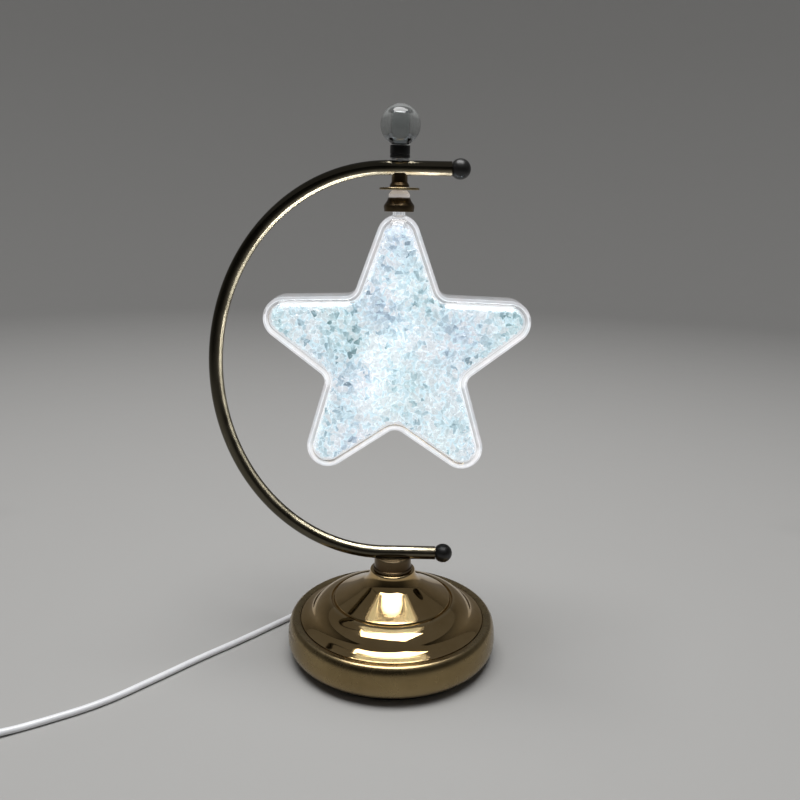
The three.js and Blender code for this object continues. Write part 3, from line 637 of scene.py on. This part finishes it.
def make_base():
    ring_r, ring_low, ring_high = reach("base_ring")
    seam_r = reach("base_dome")[0] + 0.35
    lip = (ring_r - 3.4, ring_high)
    outside = [
        (46.5, ring_low, 0.4), (54, ring_low, 0.6),
        *curve((54.6, ring_low + 0.25), (ring_r + 0.1, ring_low + 1.6), (ring_r, 11.5), 12),
        *curve((ring_r, 11.5), (ring_r - 0.25, ring_high - 1.2), lip, 14),
        (seam_r, ring_high - 0.5, 0.5),
    ]
    inside = [
        (seam_r, 20.6), (50.4, 20.6), (50.4, 18.8), (56.2, 18.8), (57.6, 11.5), (55.2, 5), (46.5, 4.5),
    ]
    ring = turned("ring", softened(outside + inside), SATIN, 160)
    cord_hole = along_exit(rod(3.1, 50, 62))
    outfit(carve(ring, cord_hole), "gold_satin", "base_ring")

    dome_r, dome_low, dome_high = reach("base_dome")
    inner = [
        (NIPPLE_HOLE_R, dome_high - 1.2), (11.3, dome_high - 1.4), (12, 47), (15.4, 41.9), (23.6, 36.9),
        (32.4, 31.6), (36.4, 30.9), (40.8, 29.3), (44.2, 24.6), (47, 22.4), (49.6, dome_low),
        (dome_r, dome_low),
    ]
    outer = [
        (dome_r, 22.5, 0.3),
        *curve((dome_r - 0.4, 22.7), (47.3, 24), (45.6, 26.4), 10),
        *curve((45.6, 26.4), (42.4, 31.6), (35.2, 33.3), 14),
        (34.6, 32.3, 0.25), (33.7, 32.4, 0.25), (33.2, 33.9, 0.4),
        *curve((32.8, 34.1), (24, 38.2), (16.5, 43.2), 14),
        *curve((16.5, 43.2), (13.4, 46), (12.9, 50.2), 12),
        (12.7, dome_high, 0.8), (NIPPLE_HOLE_R, dome_high),
    ]
    dome = turned("dome", softened(inner + outer), GOLD, 192)
    outfit(dome, "gold_polished", "base_dome")


def make_underside():
    outfit(disc("felt", "felt_pad", FELT, 0, 0.4, 0.4), "felt", "felt_pad")
    outfit(disc("plate", "bottom_plate", STEEL, 0, 0.3, 0.3), "steel", "bottom_plate")


def make_coupling():
    """The post under the arm, with a foot ring and a cradle for the tube."""
    r, low, high = reach("arm_coupling")
    neck_r = r - 0.6
    profile = [
        (NIPPLE_HOLE_R, low), (r, low, 0.25), (r, low + 1.1, 0.3), (neck_r, low + 1.6, 0.2),
        (neck_r, high, 0.6), (NIPPLE_HOLE_R, high),
    ]
    post = turned("coupling", softened(profile), BRONZE, 128)
    cradle = along_x(rod(TUBE_R + CRADLE_GAP, -20, 20, 64), z=ARM_LOW_Z)
    outfit(carve(post, cradle), "bronze", "arm_coupling")


# ---- arm ----
ARM_BEND_X = -5.1
TUBE_WALL = 0.8
TUBE_LOW, TUBE_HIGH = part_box("arm_tube")
TUBE_R = (TUBE_HIGH.y - TUBE_LOW.y) / 2 / MM
ARM_LOW_Z = TUBE_LOW.z / MM + TUBE_R
ARM_TOP_Z = TUBE_HIGH.z / MM - TUBE_R


def arm_line(bow_steps=120):
    """Points (x, z, direction) down the middle of the tube, from its upper end to its lower one."""
    rise = (ARM_TOP_Z - ARM_LOW_Z) / 2
    bow = ARM_BEND_X - TUBE_LOW.x / MM - TUBE_R
    upper_end = TUBE_HIGH.x / MM
    lower_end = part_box("end_cap_lower")[0].x / MM + 8
    points = [(upper_end, ARM_TOP_Z, pi)]
    for step in range(bow_steps + 1):
        angle = pi * step / bow_steps
        x = ARM_BEND_X - bow * sin(angle)
        z = ARM_LOW_Z + rise + rise * cos(angle)
        points.append((x, z, atan2(-rise * sin(angle), -bow * cos(angle))))
    points.append((lower_end, ARM_LOW_Z, 0.0))
    return points


def make_arm(sides=48):
    """A tube that is bent to the arm's line, with holes for the finial's stud, the stem and the lead."""
    vertices, faces, loops = [], [], []
    line = arm_line()
    for radius, walk in ((TUBE_R, line), (TUBE_R - TUBE_WALL, line[::-1])):
        for x, z, heading in walk:
            loops.append(len(vertices))
            across = Vector((-sin(heading), 0, cos(heading)))
            for side in range(sides):
                angle = 2 * pi * side / sides
                out = across * cos(angle) + Vector((0, 1, 0)) * sin(angle)
                vertices.append((Vector((x, 0, z)) + out * radius) * MM)
    for a, b in zip(loops, loops[1:] + loops[:1]):
        faces += band(a, b, sides)
    arm = add_mesh("arm", vertices, faces, ARM_GOLD_PAINTED_DARK)
    stud_hole = rod(2.2, ARM_TOP_Z, ARM_TOP_Z + 6)
    stem_hole = rod(2.0, ARM_TOP_Z - 6, ARM_TOP_Z)
    lead_hole = rod(1.8, ARM_LOW_Z - 6, ARM_LOW_Z)
    outfit(carve(arm, stud_hole, stem_hole, lead_hole), "gold_polished", "arm_tube")
    for node in ("end_cap_upper", "end_cap_lower"):
        make_end_cap(node)


def make_end_cap(node):
    """A ball with a flat back and a plug, moulded in one."""
    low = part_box(node)[0]
    size = size_of(node)
    ball_r = size.z / 2
    middle = size.x - ball_r
    flat_back = 4.1
    plug_r = TUBE_R - TUBE_WALL - 0.4
    ball = ball_points(ball_r, middle, acos(flat_back / ball_r), 24)
    back = middle - flat_back
    profile = softened([(0, 0), (plug_r, 0, 0.6), (plug_r, back, 0.3), (ball[0][0] - 0.5, back)]) + ball
    cap = turned(node.replace("end_cap", "cap"), profile, BLACK, 64)
    along_x(cap, low.x / MM, z=middle_of(node).z / MM)
    outfit(cap, "black_gloss", node)


# ---- finial ----
def make_finial():
    washer = disc("bright_washer", "collar_washer", STEEL, 2.2, 0.2, 0.2)
    outfit(washer, "steel", "collar_washer", body="finial_washer")

    r, low, high = reach("finial_collar")
    stud_top = reach("finial_stud")[2]
    collar = [
        (0, stud_top + 0.5), (2.2, stud_top + 0.5), (2.2, low), (r, low, 0.3), (r, low + 1.5, 0.15),
        (r - 0.35, low + 1.75, 0.1), (r, low + 2, 0.15), (r, high, 0.6), (3.2, high - 0.5),
        (0, high - 1.05),
    ]
    outfit(turned("collar", softened(collar), BLACK), "black_gloss", "finial_collar", body="finial")

    low, high = reach("crystal_ball")[1:]
    ball_r, middle = (high - low) / 2, (low + high) / 2
    bore_r, bore_top = 4.5, middle + 5.2
    ball = ball_points(ball_r, middle, asin(bore_r / ball_r), 64)
    bore = [(0, bore_top), (bore_r, bore_top, 1.2)]
    profile = softened(bore + ball[:1])[:-1] + ball
    outfit(turned("ball", profile, CRYSTAL, 128), "clear_glass", "crystal_ball", body="finial")


# ---- holder ----
def make_holder():
    r, low, high = reach("holder_neck")
    neck = [
        (2, low), (r, low, 0.25), (r - 0.1, low + 0.9, 0.3), (r - 1, low + 2.4, 0.8),
        (r - 1, high, 0.3), (2, high),
    ]
    neck = turned("neck", softened(neck), BRONZE)
    cradle = along_x(rod(TUBE_R + CRADLE_GAP, -12, 12, 64), z=ARM_TOP_Z)
    outfit(carve(neck, cradle), "bronze", "holder_neck")

    canopy = disc("disc", "canopy_disc", SATIN, 2, 0.3, 0.5, 128)
    outfit(canopy, "gold_satin", "canopy_disc", body="shade")

    r, low, high = reach("holder_barrel")
    barrel = [(2, low), (r, low, 0.3), (r, low + 1.6, 0.5), (r - 1.5, high, 0.3), (2, high)]
    outfit(turned("barrel", softened(barrel), PAINTED_LIT_GOLD), "gold_polished", "holder_barrel", body="shade")

    r, low, high = reach("gallery_cap")
    bell = [
        (2, high - 1), (r - 3, high - 1.2, 1), (r - 1.1, high - 4, 1.5), (r - 1.3, low),
        (r - 0.4, low, 0.15), (r, high - 4, 2), (r - 1.8, high - 1.4, 1), (r - 2.3, high, 0.4), (2, high),
    ]
    outfit(turned("bell_cap", softened(bell), BRONZE), "bronze", "gallery_cap", body="shade")

    r, low, high = reach("hanging_stem")
    stem = [
        (1.1, low), (1.7, low, 0.15), (1.7, high - 0.6), (r, high - 0.6, 0.1), (r, high, 0.15),
        (1.7, high), (1.1, high - 0.8),
    ]
    outfit(turned("stem", softened(stem), STEEL, 48), "steel", "hanging_stem")

    r, low, high = reach("stem_cone_nut")
    nut = [(2, low), (r, low, 0.25), (r, low + 1, 0.3), (2.6, high, 0.3), (2, high)]
    outfit(turned("cone_nut", softened(nut), GREY, 64), "grey_plastic", "stem_cone_nut")


# ---- star ----
TIP_AT = 61.9
TIP_R = 11.4
NOTCH_AT = 46.4
NOTCH_R = 6.0
EDGE_ROUND = 9.0
WALL = 3.2
SHELL_GAP = 0.15

# The two lower tips reach down to the bottom of the star's box.
STAR_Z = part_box("star_shell_front")[0].z / MM + TIP_AT * cos(pi / 5) + TIP_R


def star_outline(inset, arc_steps=12, edge_steps=5):
    """The star's outline about its middle as (x, z) in mm, moved inwards by inset."""
    tip_r, notch_r = TIP_R - inset, NOTCH_R + inset
    notch = Vector((NOTCH_AT * sin(pi / 5), NOTCH_AT * cos(pi / 5)))
    apart = (Vector((0, TIP_AT)) - notch).length
    towards = atan2(TIP_AT - notch.y, notch.x)
    spread = pi / 2 - acos((tip_r + notch_r) / apart) + towards
    points = []
    for arm in range(5):
        up = pi / 2 - 2 * pi * arm / 5
        down = up - pi / 5
        back = spread - pi / 5
        tip_arc = arc(TIP_AT, up, tip_r, up + spread, up - spread, 2 * arc_steps)
        notch_arc = arc(NOTCH_AT, down, notch_r, down + pi - back, down + pi + back, arc_steps)
        for stretch in (tip_arc, notch_arc):
            if points:
                points += between(points[-1], stretch[0], edge_steps)
            points += stretch
    return points + between(points[-1], points[0], edge_steps)


def arc(distance, direction, radius, start, end, steps):
    """Points of an arc about a centre that lies at a distance from the middle in a direction."""
    centre = Vector((cos(direction), sin(direction))) * distance
    angles = [start + (end - start) * step / steps for step in range(steps + 1)]
    return [centre + Vector((cos(a), sin(a))) * radius for a in angles]


def between(a, b, steps):
    return [a.lerp(b, step / steps) for step in range(1, steps)]


def pillow(name, inset, half_thick, edge, material):
    """The star as a solid with rounded edges."""
    front = [(inset + i, -(half_thick - edge + d)) for i, d in quarter(edge, 10)]
    front.append((inset + edge + 0.4, -half_thick))
    rings = []
    for step_in, depth in [(i, -d) for i, d in reversed(front)] + front:
        rings.append([Vector((p.x, depth, p.y + STAR_Z)) * MM for p in star_outline(step_in)])
    return add_mesh(name, *stacked(rings), material)


def make_shell():
    half_thick = -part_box("star_shell_front")[0].y / MM
    neck_top = reach("star_shell_front")[2]
    cone_r, cone_low, cone_high = reach("stem_cone_nut")
    gap = 0.4
    nut_room = [
        (0, cone_low - gap), (cone_r + gap, cone_low - gap), (cone_r + gap, cone_low + 1),
        (3, cone_high + gap), (0, cone_high + gap),
    ]
    for side, label in ((-1, "front"), (1, "back")):
        shell = pillow(f"glass_{label}", 0, half_thick, EDGE_ROUND, SHELL_GLASS)
        carve(shell, rod(3.2, 244, neck_top), operation="UNION")
        hollow = pillow("tool", WALL, half_thick - WALL, EDGE_ROUND - WALL, GREY)
        carve(shell, hollow, rod(2, 240, 256), turned("tool", nut_room, GREY, 64))
        carve(shell, half_space(side), operation="INTERSECT")
        mark_rim_painted_glow(shell)
        outfit(shell, "clear_glass", f"star_shell_{label}", body="shade")


def mark_rim_painted_glow(shell):
    """Writes how much painted glow each point of the glass gets, standing for the lamp's light it lets out:
    its edge wall most.
    """
    places = np.array([(v.co.x / MM, v.co.z / MM - STAR_Z) for v in shell.data.vertices])
    outline = star_outline(0)
    inside = outline_distance(places, outline)
    step = 0.4
    upwards = (inside - outline_distance(places + (0, step), outline)) / step
    values = []
    for vertex, distance, up in zip(shell.data.vertices, inside, upwards):
        rising = 0.55 + 0.45 * smoothstep(0.4, 2.4, distance)
        edge = rising * (1 - smoothstep(3.7, 5.6, distance))
        # The overhead light is bright enough on the front's upper edges, so they get less painted glow.
        front = smoothstep(8, 12, abs(vertex.co.y) / MM)
        level = 0.7 + 0.3 * front * (1 - 2.3 * clamp(up))
        # Painted light: the glass at the top tip glows as well.
        tip = smoothstep(238, 244, vertex.co.z / MM)
        values.append(max(edge * level, 0.45 * tip))
    rim_painted_glow = shell.data.attributes.new("rim_painted_glow", "FLOAT", "POINT")
    rim_painted_glow.data.foreach_set("value", values)


def half_space(side):
    """A block that holds all that lies on one side of the star's seam."""
    square = [(-0.1, 0.08), (0.1, 0.08), (0.1, 0.28), (-0.1, 0.28)]
    rings = [[(x, y, z) for x, z in square] for y in (side * SHELL_GAP * MM, side * 0.05)]
    return add_mesh("tool", *stacked(rings), GREY)


# ---- crushed glass lining ----
LINING_INSET = 3.7
LINING_DEPTH = 12.4
WALL_DEPTH = 7
CLEAR_ABOVE = 243.2
CHIP_SPACING = 2.9
ROW_SPACING = 0.87 * CHIP_SPACING
CHIP_SIZE = (2.0, 3.6)
DARK_SHARE = 0.11
DARKER_BY = 0.34
GRID_REACH = 80
FRONTWARDS = Vector((0, -1, 0))

# Painted light: spots where the lining is painted brighter, as the LEDs shine through most there: x, height
# and width of each spot, in mm.
PAINTED_LAMP_SPOTS = [(-12, 160, 11), (3, 190, 11), (-8, 178, 10), (1, 214, 8)]


def outline_distance(points, outline):
    """How far inside the outline each point lies, in mm; negative outside."""
    a = np.array([tuple(p) for p in outline])
    b = np.roll(a, -1, axis=0)
    best = np.full(len(points), np.inf)
    inside = np.zeros(len(points), bool)
    for (ax, az), (bx, bz) in zip(a, b):
        d = np.array([bx - ax, bz - az])
        t = np.clip(((points - (ax, az)) @ d) / (d @ d), 0, 1)
        best = np.minimum(best, np.linalg.norm(points - (ax, az) - t[:, None] * d, axis=1))
        if az != bz:
            crosses = (points[:, 1] < az) != (points[:, 1] < bz)
            at = ax + (points[:, 1] - az) / (bz - az) * (bx - ax)
            inside ^= crosses & (points[:, 0] < at)
    return np.where(inside, best, -best)


def chip_shapes(rng, count=36):
    """Small angular pieces of broken glass, each the hull of a few points on a flattened ball."""
    shapes = []
    for _ in range(count):
        solid = bmesh.new()
        for _ in range(rng.randint(8, 12)):
            direction = Vector([rng.gauss(0, 1) for _ in range(3)]).normalized()
            stretch = Vector((1.0, rng.uniform(0.6, 1.0), rng.uniform(0.35, 0.6)))
            solid.verts.new(direction * stretch * rng.uniform(0.85, 1.0))
        bmesh.ops.convex_hull(solid, input=solid.verts)
        loose = [vertex for vertex in solid.verts if not vertex.link_faces]
        bmesh.ops.delete(solid, geom=loose, context="VERTS")
        solid.verts.index_update()
        corners = [v.co.copy() for v in solid.verts]
        shapes.append((corners, [[v.index for v in face.verts] for face in solid.faces]))
        solid.free()
    return shapes


def chip_sites(rng):
    """(point, outward direction) on the inside of the glass, spread evenly but not in rows."""
    outline = star_outline(0)
    grid = []
    for row in range(int(2 * GRID_REACH / ROW_SPACING)):
        for column in range(int(2 * GRID_REACH / CHIP_SPACING)):
            x = -GRID_REACH + (column + 0.5 * (row % 2)) * CHIP_SPACING + rng.uniform(-0.8, 0.8)
            z = -GRID_REACH + row * ROW_SPACING + rng.uniform(-0.8, 0.8)
            grid.append((x, z))
    grid = np.array(grid)
    inside = outline_distance(grid, outline)
    step = 0.4
    slope_x = outline_distance(grid + (step, 0), outline) - inside
    slope_z = outline_distance(grid + (0, step), outline) - inside
    sites = []
    bend_r = LINING_DEPTH - WALL_DEPTH
    flat_from = LINING_INSET + bend_r
    for (x, z), d, sx, sz in zip(grid, inside, slope_x, slope_z):
        if d < LINING_INSET + 0.25:
            continue
        out, depth = FRONTWARDS, LINING_DEPTH
        if d < flat_from:
            lean = acos(min(1.0, (flat_from - d) / (flat_from - LINING_INSET)))
            depth = WALL_DEPTH + bend_r * sin(lean)
            away = Vector((-sx, 0, -sz)).normalized()
            out = away * cos(lean) + FRONTWARDS * sin(lean)
        sites.append((Vector((x, -depth, z)), out))
    walls = star_outline(LINING_INSET + 0.1, arc_steps=4, edge_steps=16)
    for i, here in enumerate(walls):
        across = (walls[(i + 1) % len(walls)] - walls[i - 1]).normalized()
        out = Vector((-across.y, 0, across.x))
        for depth in (1.6, 3.4, 5.2, WALL_DEPTH):
            along, deeper = rng.uniform(-0.6, 0.6), rng.uniform(-0.6, 0.6)
            x, z = here.x + across.x * along, here.y + across.y * along
            sites.append((Vector((x, -depth + deeper, z)), out))
    return sites


def painted_lamp_glow(place):
    """How much painted lamp light falls at a place on the lining, from 0 to 1."""
    glow = 0.0
    for x, z, width in PAINTED_LAMP_SPOTS:
        glow += exp(-((place.x - x) ** 2 + (place.z - z) ** 2) / width**2)
    return min(1.0, glow)


def make_lining(side, label, seed):
    """Broken glass on the inside of one half: chips over a thin sheet."""
    rng = random.Random(seed)
    shapes = chip_shapes(rng)
    middle = Vector((0, 0, STAR_Z))
    vertices, faces, colours = [], [], []

    def add_part(points, part_faces, part_colours):
        start = len(vertices)
        vertices.extend(points)
        faces.extend([tuple(start + i for i in face) for face in part_faces])
        colours.extend(part_colours)

    for place, out in chip_sites(rng):
        centre = place + middle
        if centre.z > CLEAR_ABOVE:
            continue
        corners, chip_faces = rng.choice(shapes)
        size = rng.uniform(*CHIP_SIZE)
        lean = Euler((rng.gauss(0, 0.4), rng.gauss(0, 0.4), rng.uniform(0, 2 * pi))).to_matrix()
        upright = out.to_track_quat("Z", "Y").to_matrix()
        turned_corners = [upright @ (lean @ (corner * size)) for corner in corners]
        proud = max(corner.dot(out) for corner in turned_corners)
        centre -= out * (proud + rng.uniform(0.0, 0.7))
        cloud = noise.noise(centre * 0.055) + 0.6 * noise.noise(centre * 0.16)
        # Painted light: chips near the lamp spots get a brighter tone, and that glow is kept for the ice
        # material's emission.
        glow = painted_lamp_glow(centre)
        tone = 0.66 + 0.32 * cloud + 0.22 * glow + rng.gauss(0, 0.14)
        if rng.random() < DARK_SHARE:
            tone -= DARKER_BY
        tint = clamp(0.4 + 1.1 * noise.noise((centre + Vector((40, 0, 9))) * 0.035))
        points = [flip(centre + corner, side) * MM for corner in turned_corners]
        tones = [clamp(tone + rng.gauss(0, 0.08)) for _ in chip_faces]
        add_part(points, chip_faces, [(face_tone, tint, glow, 1.0) for face_tone in tones])

    sheet_points, sheet_faces = sheet_under_chips(side)
    add_part(sheet_points, sheet_faces, [(0.5, 0.4, 0.25, 1.0)] * len(sheet_faces))

    lining = add_mesh(f"ice_{label}", vertices, faces, ICE, radians(12))
    values = lining.data.attributes.new("ice", "FLOAT_COLOR", "CORNER")
    for face in lining.data.polygons:
        for corner in face.loop_indices:
            values.data[corner].color = colours[face.index]
    outfit(lining, "ice_glass", f"ice_lining_{label}", body="shade")


def flip(point, side):
    """The front half's point, or its mirror image at the back."""
    return Vector((point.x, -side * point.y, point.z))


def sheet_under_chips(side):
    """A thin plate behind the chips, cut off below the cone nut."""
    top = CLEAR_ABOVE - STAR_Z
    loop = [Vector((p.x, min(p.y, top))) for p in star_outline(LINING_INSET + 2.5, 8, 5)]
    loop = [p for i, p in enumerate(loop) if (p - loop[i - 1]).length > 1e-4]
    kept = []
    for i, p in enumerate(loop):
        if min(p.y, loop[i - 1].y, loop[(i + 1) % len(loop)].y) < top:
            kept.append(p)
    rings = [[flip(Vector((p.x, y, p.y + STAR_Z)), side) * MM for p in kept] for y in (-8.9, -8.3)]
    return stacked(rings)


# ---- switch, plug, tie and strain relief ----
SWITCH_HEADING = radians(210)
SWITCH_LENGTH = 46
SWITCH_WIDTH = 17


def slab(name, low, high, corner_r, edge_r, material):
    """The switch's plan with round corners, from one height to another.

    A positive edge_r rounds its upper edge, a negative one its lower edge."""
    outline = []
    for corner, (sx, sy) in enumerate(((1, 1), (-1, 1), (-1, -1), (1, -1))):
        for step in range(9):
            angle = pi / 2 * (corner + step / 8)
            x, y = sx * (SWITCH_LENGTH / 2 - corner_r), sy * (SWITCH_WIDTH / 2 - corner_r)
            outline.append((x, y, angle))
    soft = abs(edge_r)
    bend = quarter(soft, 5)
    if edge_r > 0:
        levels = [(0, low)] + [(inset, high - soft + rise) for inset, rise in bend]
    else:
        levels = [(inset, low + soft - rise) for inset, rise in reversed(bend)] + [(0, high)]
    rings = []
    for inset, z in levels:
        r = corner_r - inset
        rings.append([Vector((x + r * cos(a), y + r * sin(a), z)) * MM for x, y, a in outline])
    return add_mesh(name, *stacked(rings), material)


def make_switch():
    pivot = next(j for j in frame["joints"] if j["child"] == "rocker")["pos_m"]
    place = Matrix.Translation((pivot[0], pivot[1], 0)) @ Matrix.Rotation(SWITCH_HEADING, 4, "Z")
    base_low, split_low = reach("switch_base")[1:]
    split_high, top = reach("switch_cover")[1:]
    base = slab("switch_shell_low", base_low, split_low, 4, -1.2, GREY)
    cover = slab("switch_shell_top", split_high, top, 4, 1.6, GREY)
    bores = [along_x(rod(CORD_R + 0.25, -30, 30, 32), z=5) for _ in (base, cover)]
    carve(base, bores[0], block((26, 13, 7), 0.5, (0, 0, 5.1)))
    window = block((14.2, 7.5, 8), 0.6, (0, 0, top))
    carve(cover, bores[1], block((26, 13, 8), 0.5, (0, 0, top - 5.5)), window)
    rib_xs = [side * (11 + 2 * i) for side in (-1, 1) for i in range(4)]
    carve(cover, *[block((0.7, 12, 1.2), 0.3, (x, 0, top)) for x in rib_xs])
    outfit(moved(base, place), "grey_plastic", "switch_base")
    outfit(moved(cover, place), "grey_plastic", "switch_cover")

    outline = [
        (-6.4, -1.6), *curve((-6.4, -1.6), (0, -4.4), (6.4, -1.6), 12),
        (6.4, 3.3), *curve((6.4, 3.3), (0, 1.5), (-6.4, 3.3), 16),
    ]
    tilt = Matrix.Translation((0, 0, pivot[2])) @ Matrix.Rotation(-radians(7), 4, "Y")
    rocker = prism("rocker_key", outline, 6.3, BLACK)
    soften_edges(rocker, 0.35)
    outfit(moved(rocker, place @ tilt), "black_gloss", "switch_rocker", body="rocker")


def at_node(piece, node):
    """Moves a piece made about the origin to the middle of the node's box."""
    return moved(piece, Matrix.Translation(middle_of(node)))


def make_plug():
    low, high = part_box("plug_grip")
    middle = (low + high) / 2
    outline = [
        (-22, -2.4), (-17, -6), *curve((-17, -6), (-8, -7.2), (0, -7.5), 8),
        (0, 7.5), *curve((0, 7.5), (-8, 7.2), (-17, 6), 8), (-22, 2.4),
    ]
    grip = prism("plug_body", outline, high.z / MM - low.z / MM, GREY)
    moved(grip, Matrix.Rotation(pi / 2, 4, "X"))
    soften_edges(grip, 1.3)
    ridge_places = [(x, 0, z) for x in (-14.5, -12.3, -10.1, -7.9) for z in (-4.0, 4.0)]
    ridges = [block((0.8, 20, 1.0), 0.35, place) for place in ridge_places]
    carve(grip, along_x(rod(CORD_R + 0.1, -23, -16, 32)), *ridges)
    moved(grip, Matrix.Translation((high.x, middle.y, middle.z)))
    outfit(grip, "grey_plastic", "plug_grip")

    size = size_of("plug_shell")
    shell = rounded_box("plug_metal", size, 0.5, STEEL)
    hollow = block((size.x, size.y - 0.8, size.z - 0.8), 0.3, (0.5, 0, 0))
    windows = [block((2.4, 2.2, 8), 0.15, (1.2, y, 0)) for y in (-2.8, 2.8)]
    carve(shell, hollow, *windows)
    outfit(at_node(shell, "plug_shell"), "steel", "plug_shell")

    size = size_of("plug_tongue")
    tongue = rounded_box("plug_contact", size, 0.2, WHITE)
    carve(tongue, *[block((6.6, 1.1, 0.6), 0.1, (0.8, y, -size.z / 2)) for y in (-3.5, -1.1, 1.1, 3.5)])
    outfit(at_node(tongue, "plug_tongue"), "white_plastic", "plug_tongue")


def make_tie():
    size = size_of("coil_tie")
    tie = rounded_box("cord_tie", size, 0.9, BLACK, segments=6)
    carve(tie, block((size.x - 1.3, size.y + 4, size.z - 1.3), 0.7, segments=6))
    outfit(at_node(tie, "coil_tie"), "black_gloss", "coil_tie")


def make_relief():
    """The strain relief: a flange against the ring, then a ribbed sleeve that tapers to the cord."""
    root = reach("base_ring")[0] + 0.4
    end = root + 20
    profile = [
        (0, 53.2), (2.75, 53.2), (2.75, root), (3.9, root + 0.1, 0.3), (3.9, root + 2, 0.5),
        (3.2, root + 3, 0.2),
    ]
    for rib in range(6):
        at = root + 4.2 + 2.4 * rib
        r = 3.15 - 0.95 * (at - root) / 20
        profile += [
            (r, at, 0.15), (r - 0.55, at + 0.25, 0.15), (r - 0.6, at + 0.95, 0.15),
            (r - 0.1, at + 1.2, 0.15),
        ]
    profile += [(2.1, end - 0.6, 0.2), (1.95, end, 0.1), (1.2, end), (0, end)]
    relief = along_exit(turned("relief", softened(profile, 3), VINYL, 48))
    outfit(relief, "cord_vinyl", "strain_relief")


# ---- what stays as the frame gives it ----
KEPT_NODES = {
    "steel": (STEEL, [
        *(f"plate_screw_{i}" for i in (1, 2, 3)), "switch_screw_1", "switch_screw_2",
        "nipple_washer", "nipple_nut", "base_nipple", "finial_stud",
    ]),
    "iron": (IRON, ["ballast_weight"]),
    "white_plastic": (WHITE, ["led_board"]),
    "lamp": (LAMP, [f"led_chip_{side}_{i}" for side in ("front", "back") for i in (1, 2, 3)]),
    "red_wire": (WIRE, ["inner_lead"]),
}


def dress_kept_nodes():
    for slot, (material, nodes) in KEPT_NODES.items():
        for node in nodes:
            piece = frame["nodes"][node]
            piece.data.materials.clear()
            piece.data.materials.append(material)


# ---- stage ----
def make_stage():
    """A round sweep: a flat floor that rises to a low wall all round."""
    flat, rise, top = 1500, 700, 1500
    profile = [(0, 0), (60, 0), (250, 0), (700, 0), (flat, 0)]
    profile += [(flat + out, up) for up, out in quarter(rise, 16)[1:]]
    profile.append((flat + rise, top))
    sweep = turned("sweep", profile, STAGE, open_profile=True)


def add_light(name, kind, place, energy, **settings):
    """A light that looks at the lamp and isn't seen itself."""
    light = add_object(name, bpy.data.lights.new(name, kind))
    light.data.energy = energy
    for key, value in settings.items():
        setattr(light.data, key, value)
    light.location = place
    light.rotation_euler = (Vector((0, 0.05, 0.1)) - light.location).to_track_quat("-Z", "Y").to_euler()
    light.visible_camera = False
    return light


def arm_group(name):
    group = bpy.data.collections.new(name)
    group.objects.link(bpy.data.objects["arm"])
    return group


def make_lights():
    """A broad light overhead, which leaves the arm out, and the star's own light on the arm alone."""
    world = bpy.data.worlds.new("studio")
    bpy.context.scene.world = world
    world.use_nodes = True
    background = world.node_tree.nodes["Background"]
    background.inputs["Color"].default_value = (0.86, 0.87, 0.9, 1)
    background.inputs["Strength"].default_value = 0.14
    overhead = add_light("overhead", "AREA", (-0.05, -0.1, 1.6), 29, shape="RECTANGLE", size=1.3, size_y=0.9)
    all_but_arm = arm_group("all_but_arm")
    all_but_arm.collection_objects[0].light_linking.link_state = "EXCLUDE"
    overhead.light_linking.receiver_collection = all_but_arm
    glow = add_light("star_on_arm", "POINT", (0, 0, STAR_Z * MM), 3.5, shadow_soft_size=0.035)
    arm_only = arm_group("arm_only")
    glow.light_linking.receiver_collection = arm_only
    glow.light_linking.blocker_collection = arm_only
    bpy.context.scene.view_settings.view_transform = "Standard"


make_base()
make_underside()
make_coupling()
make_arm()
make_finial()
make_holder()
make_shell()
make_lining(-1, "front", 11)
make_lining(1, "back", 12)
make_switch()
make_plug()
make_tie()
make_relief()
dress_kept_nodes()
make_stage()
make_lights()
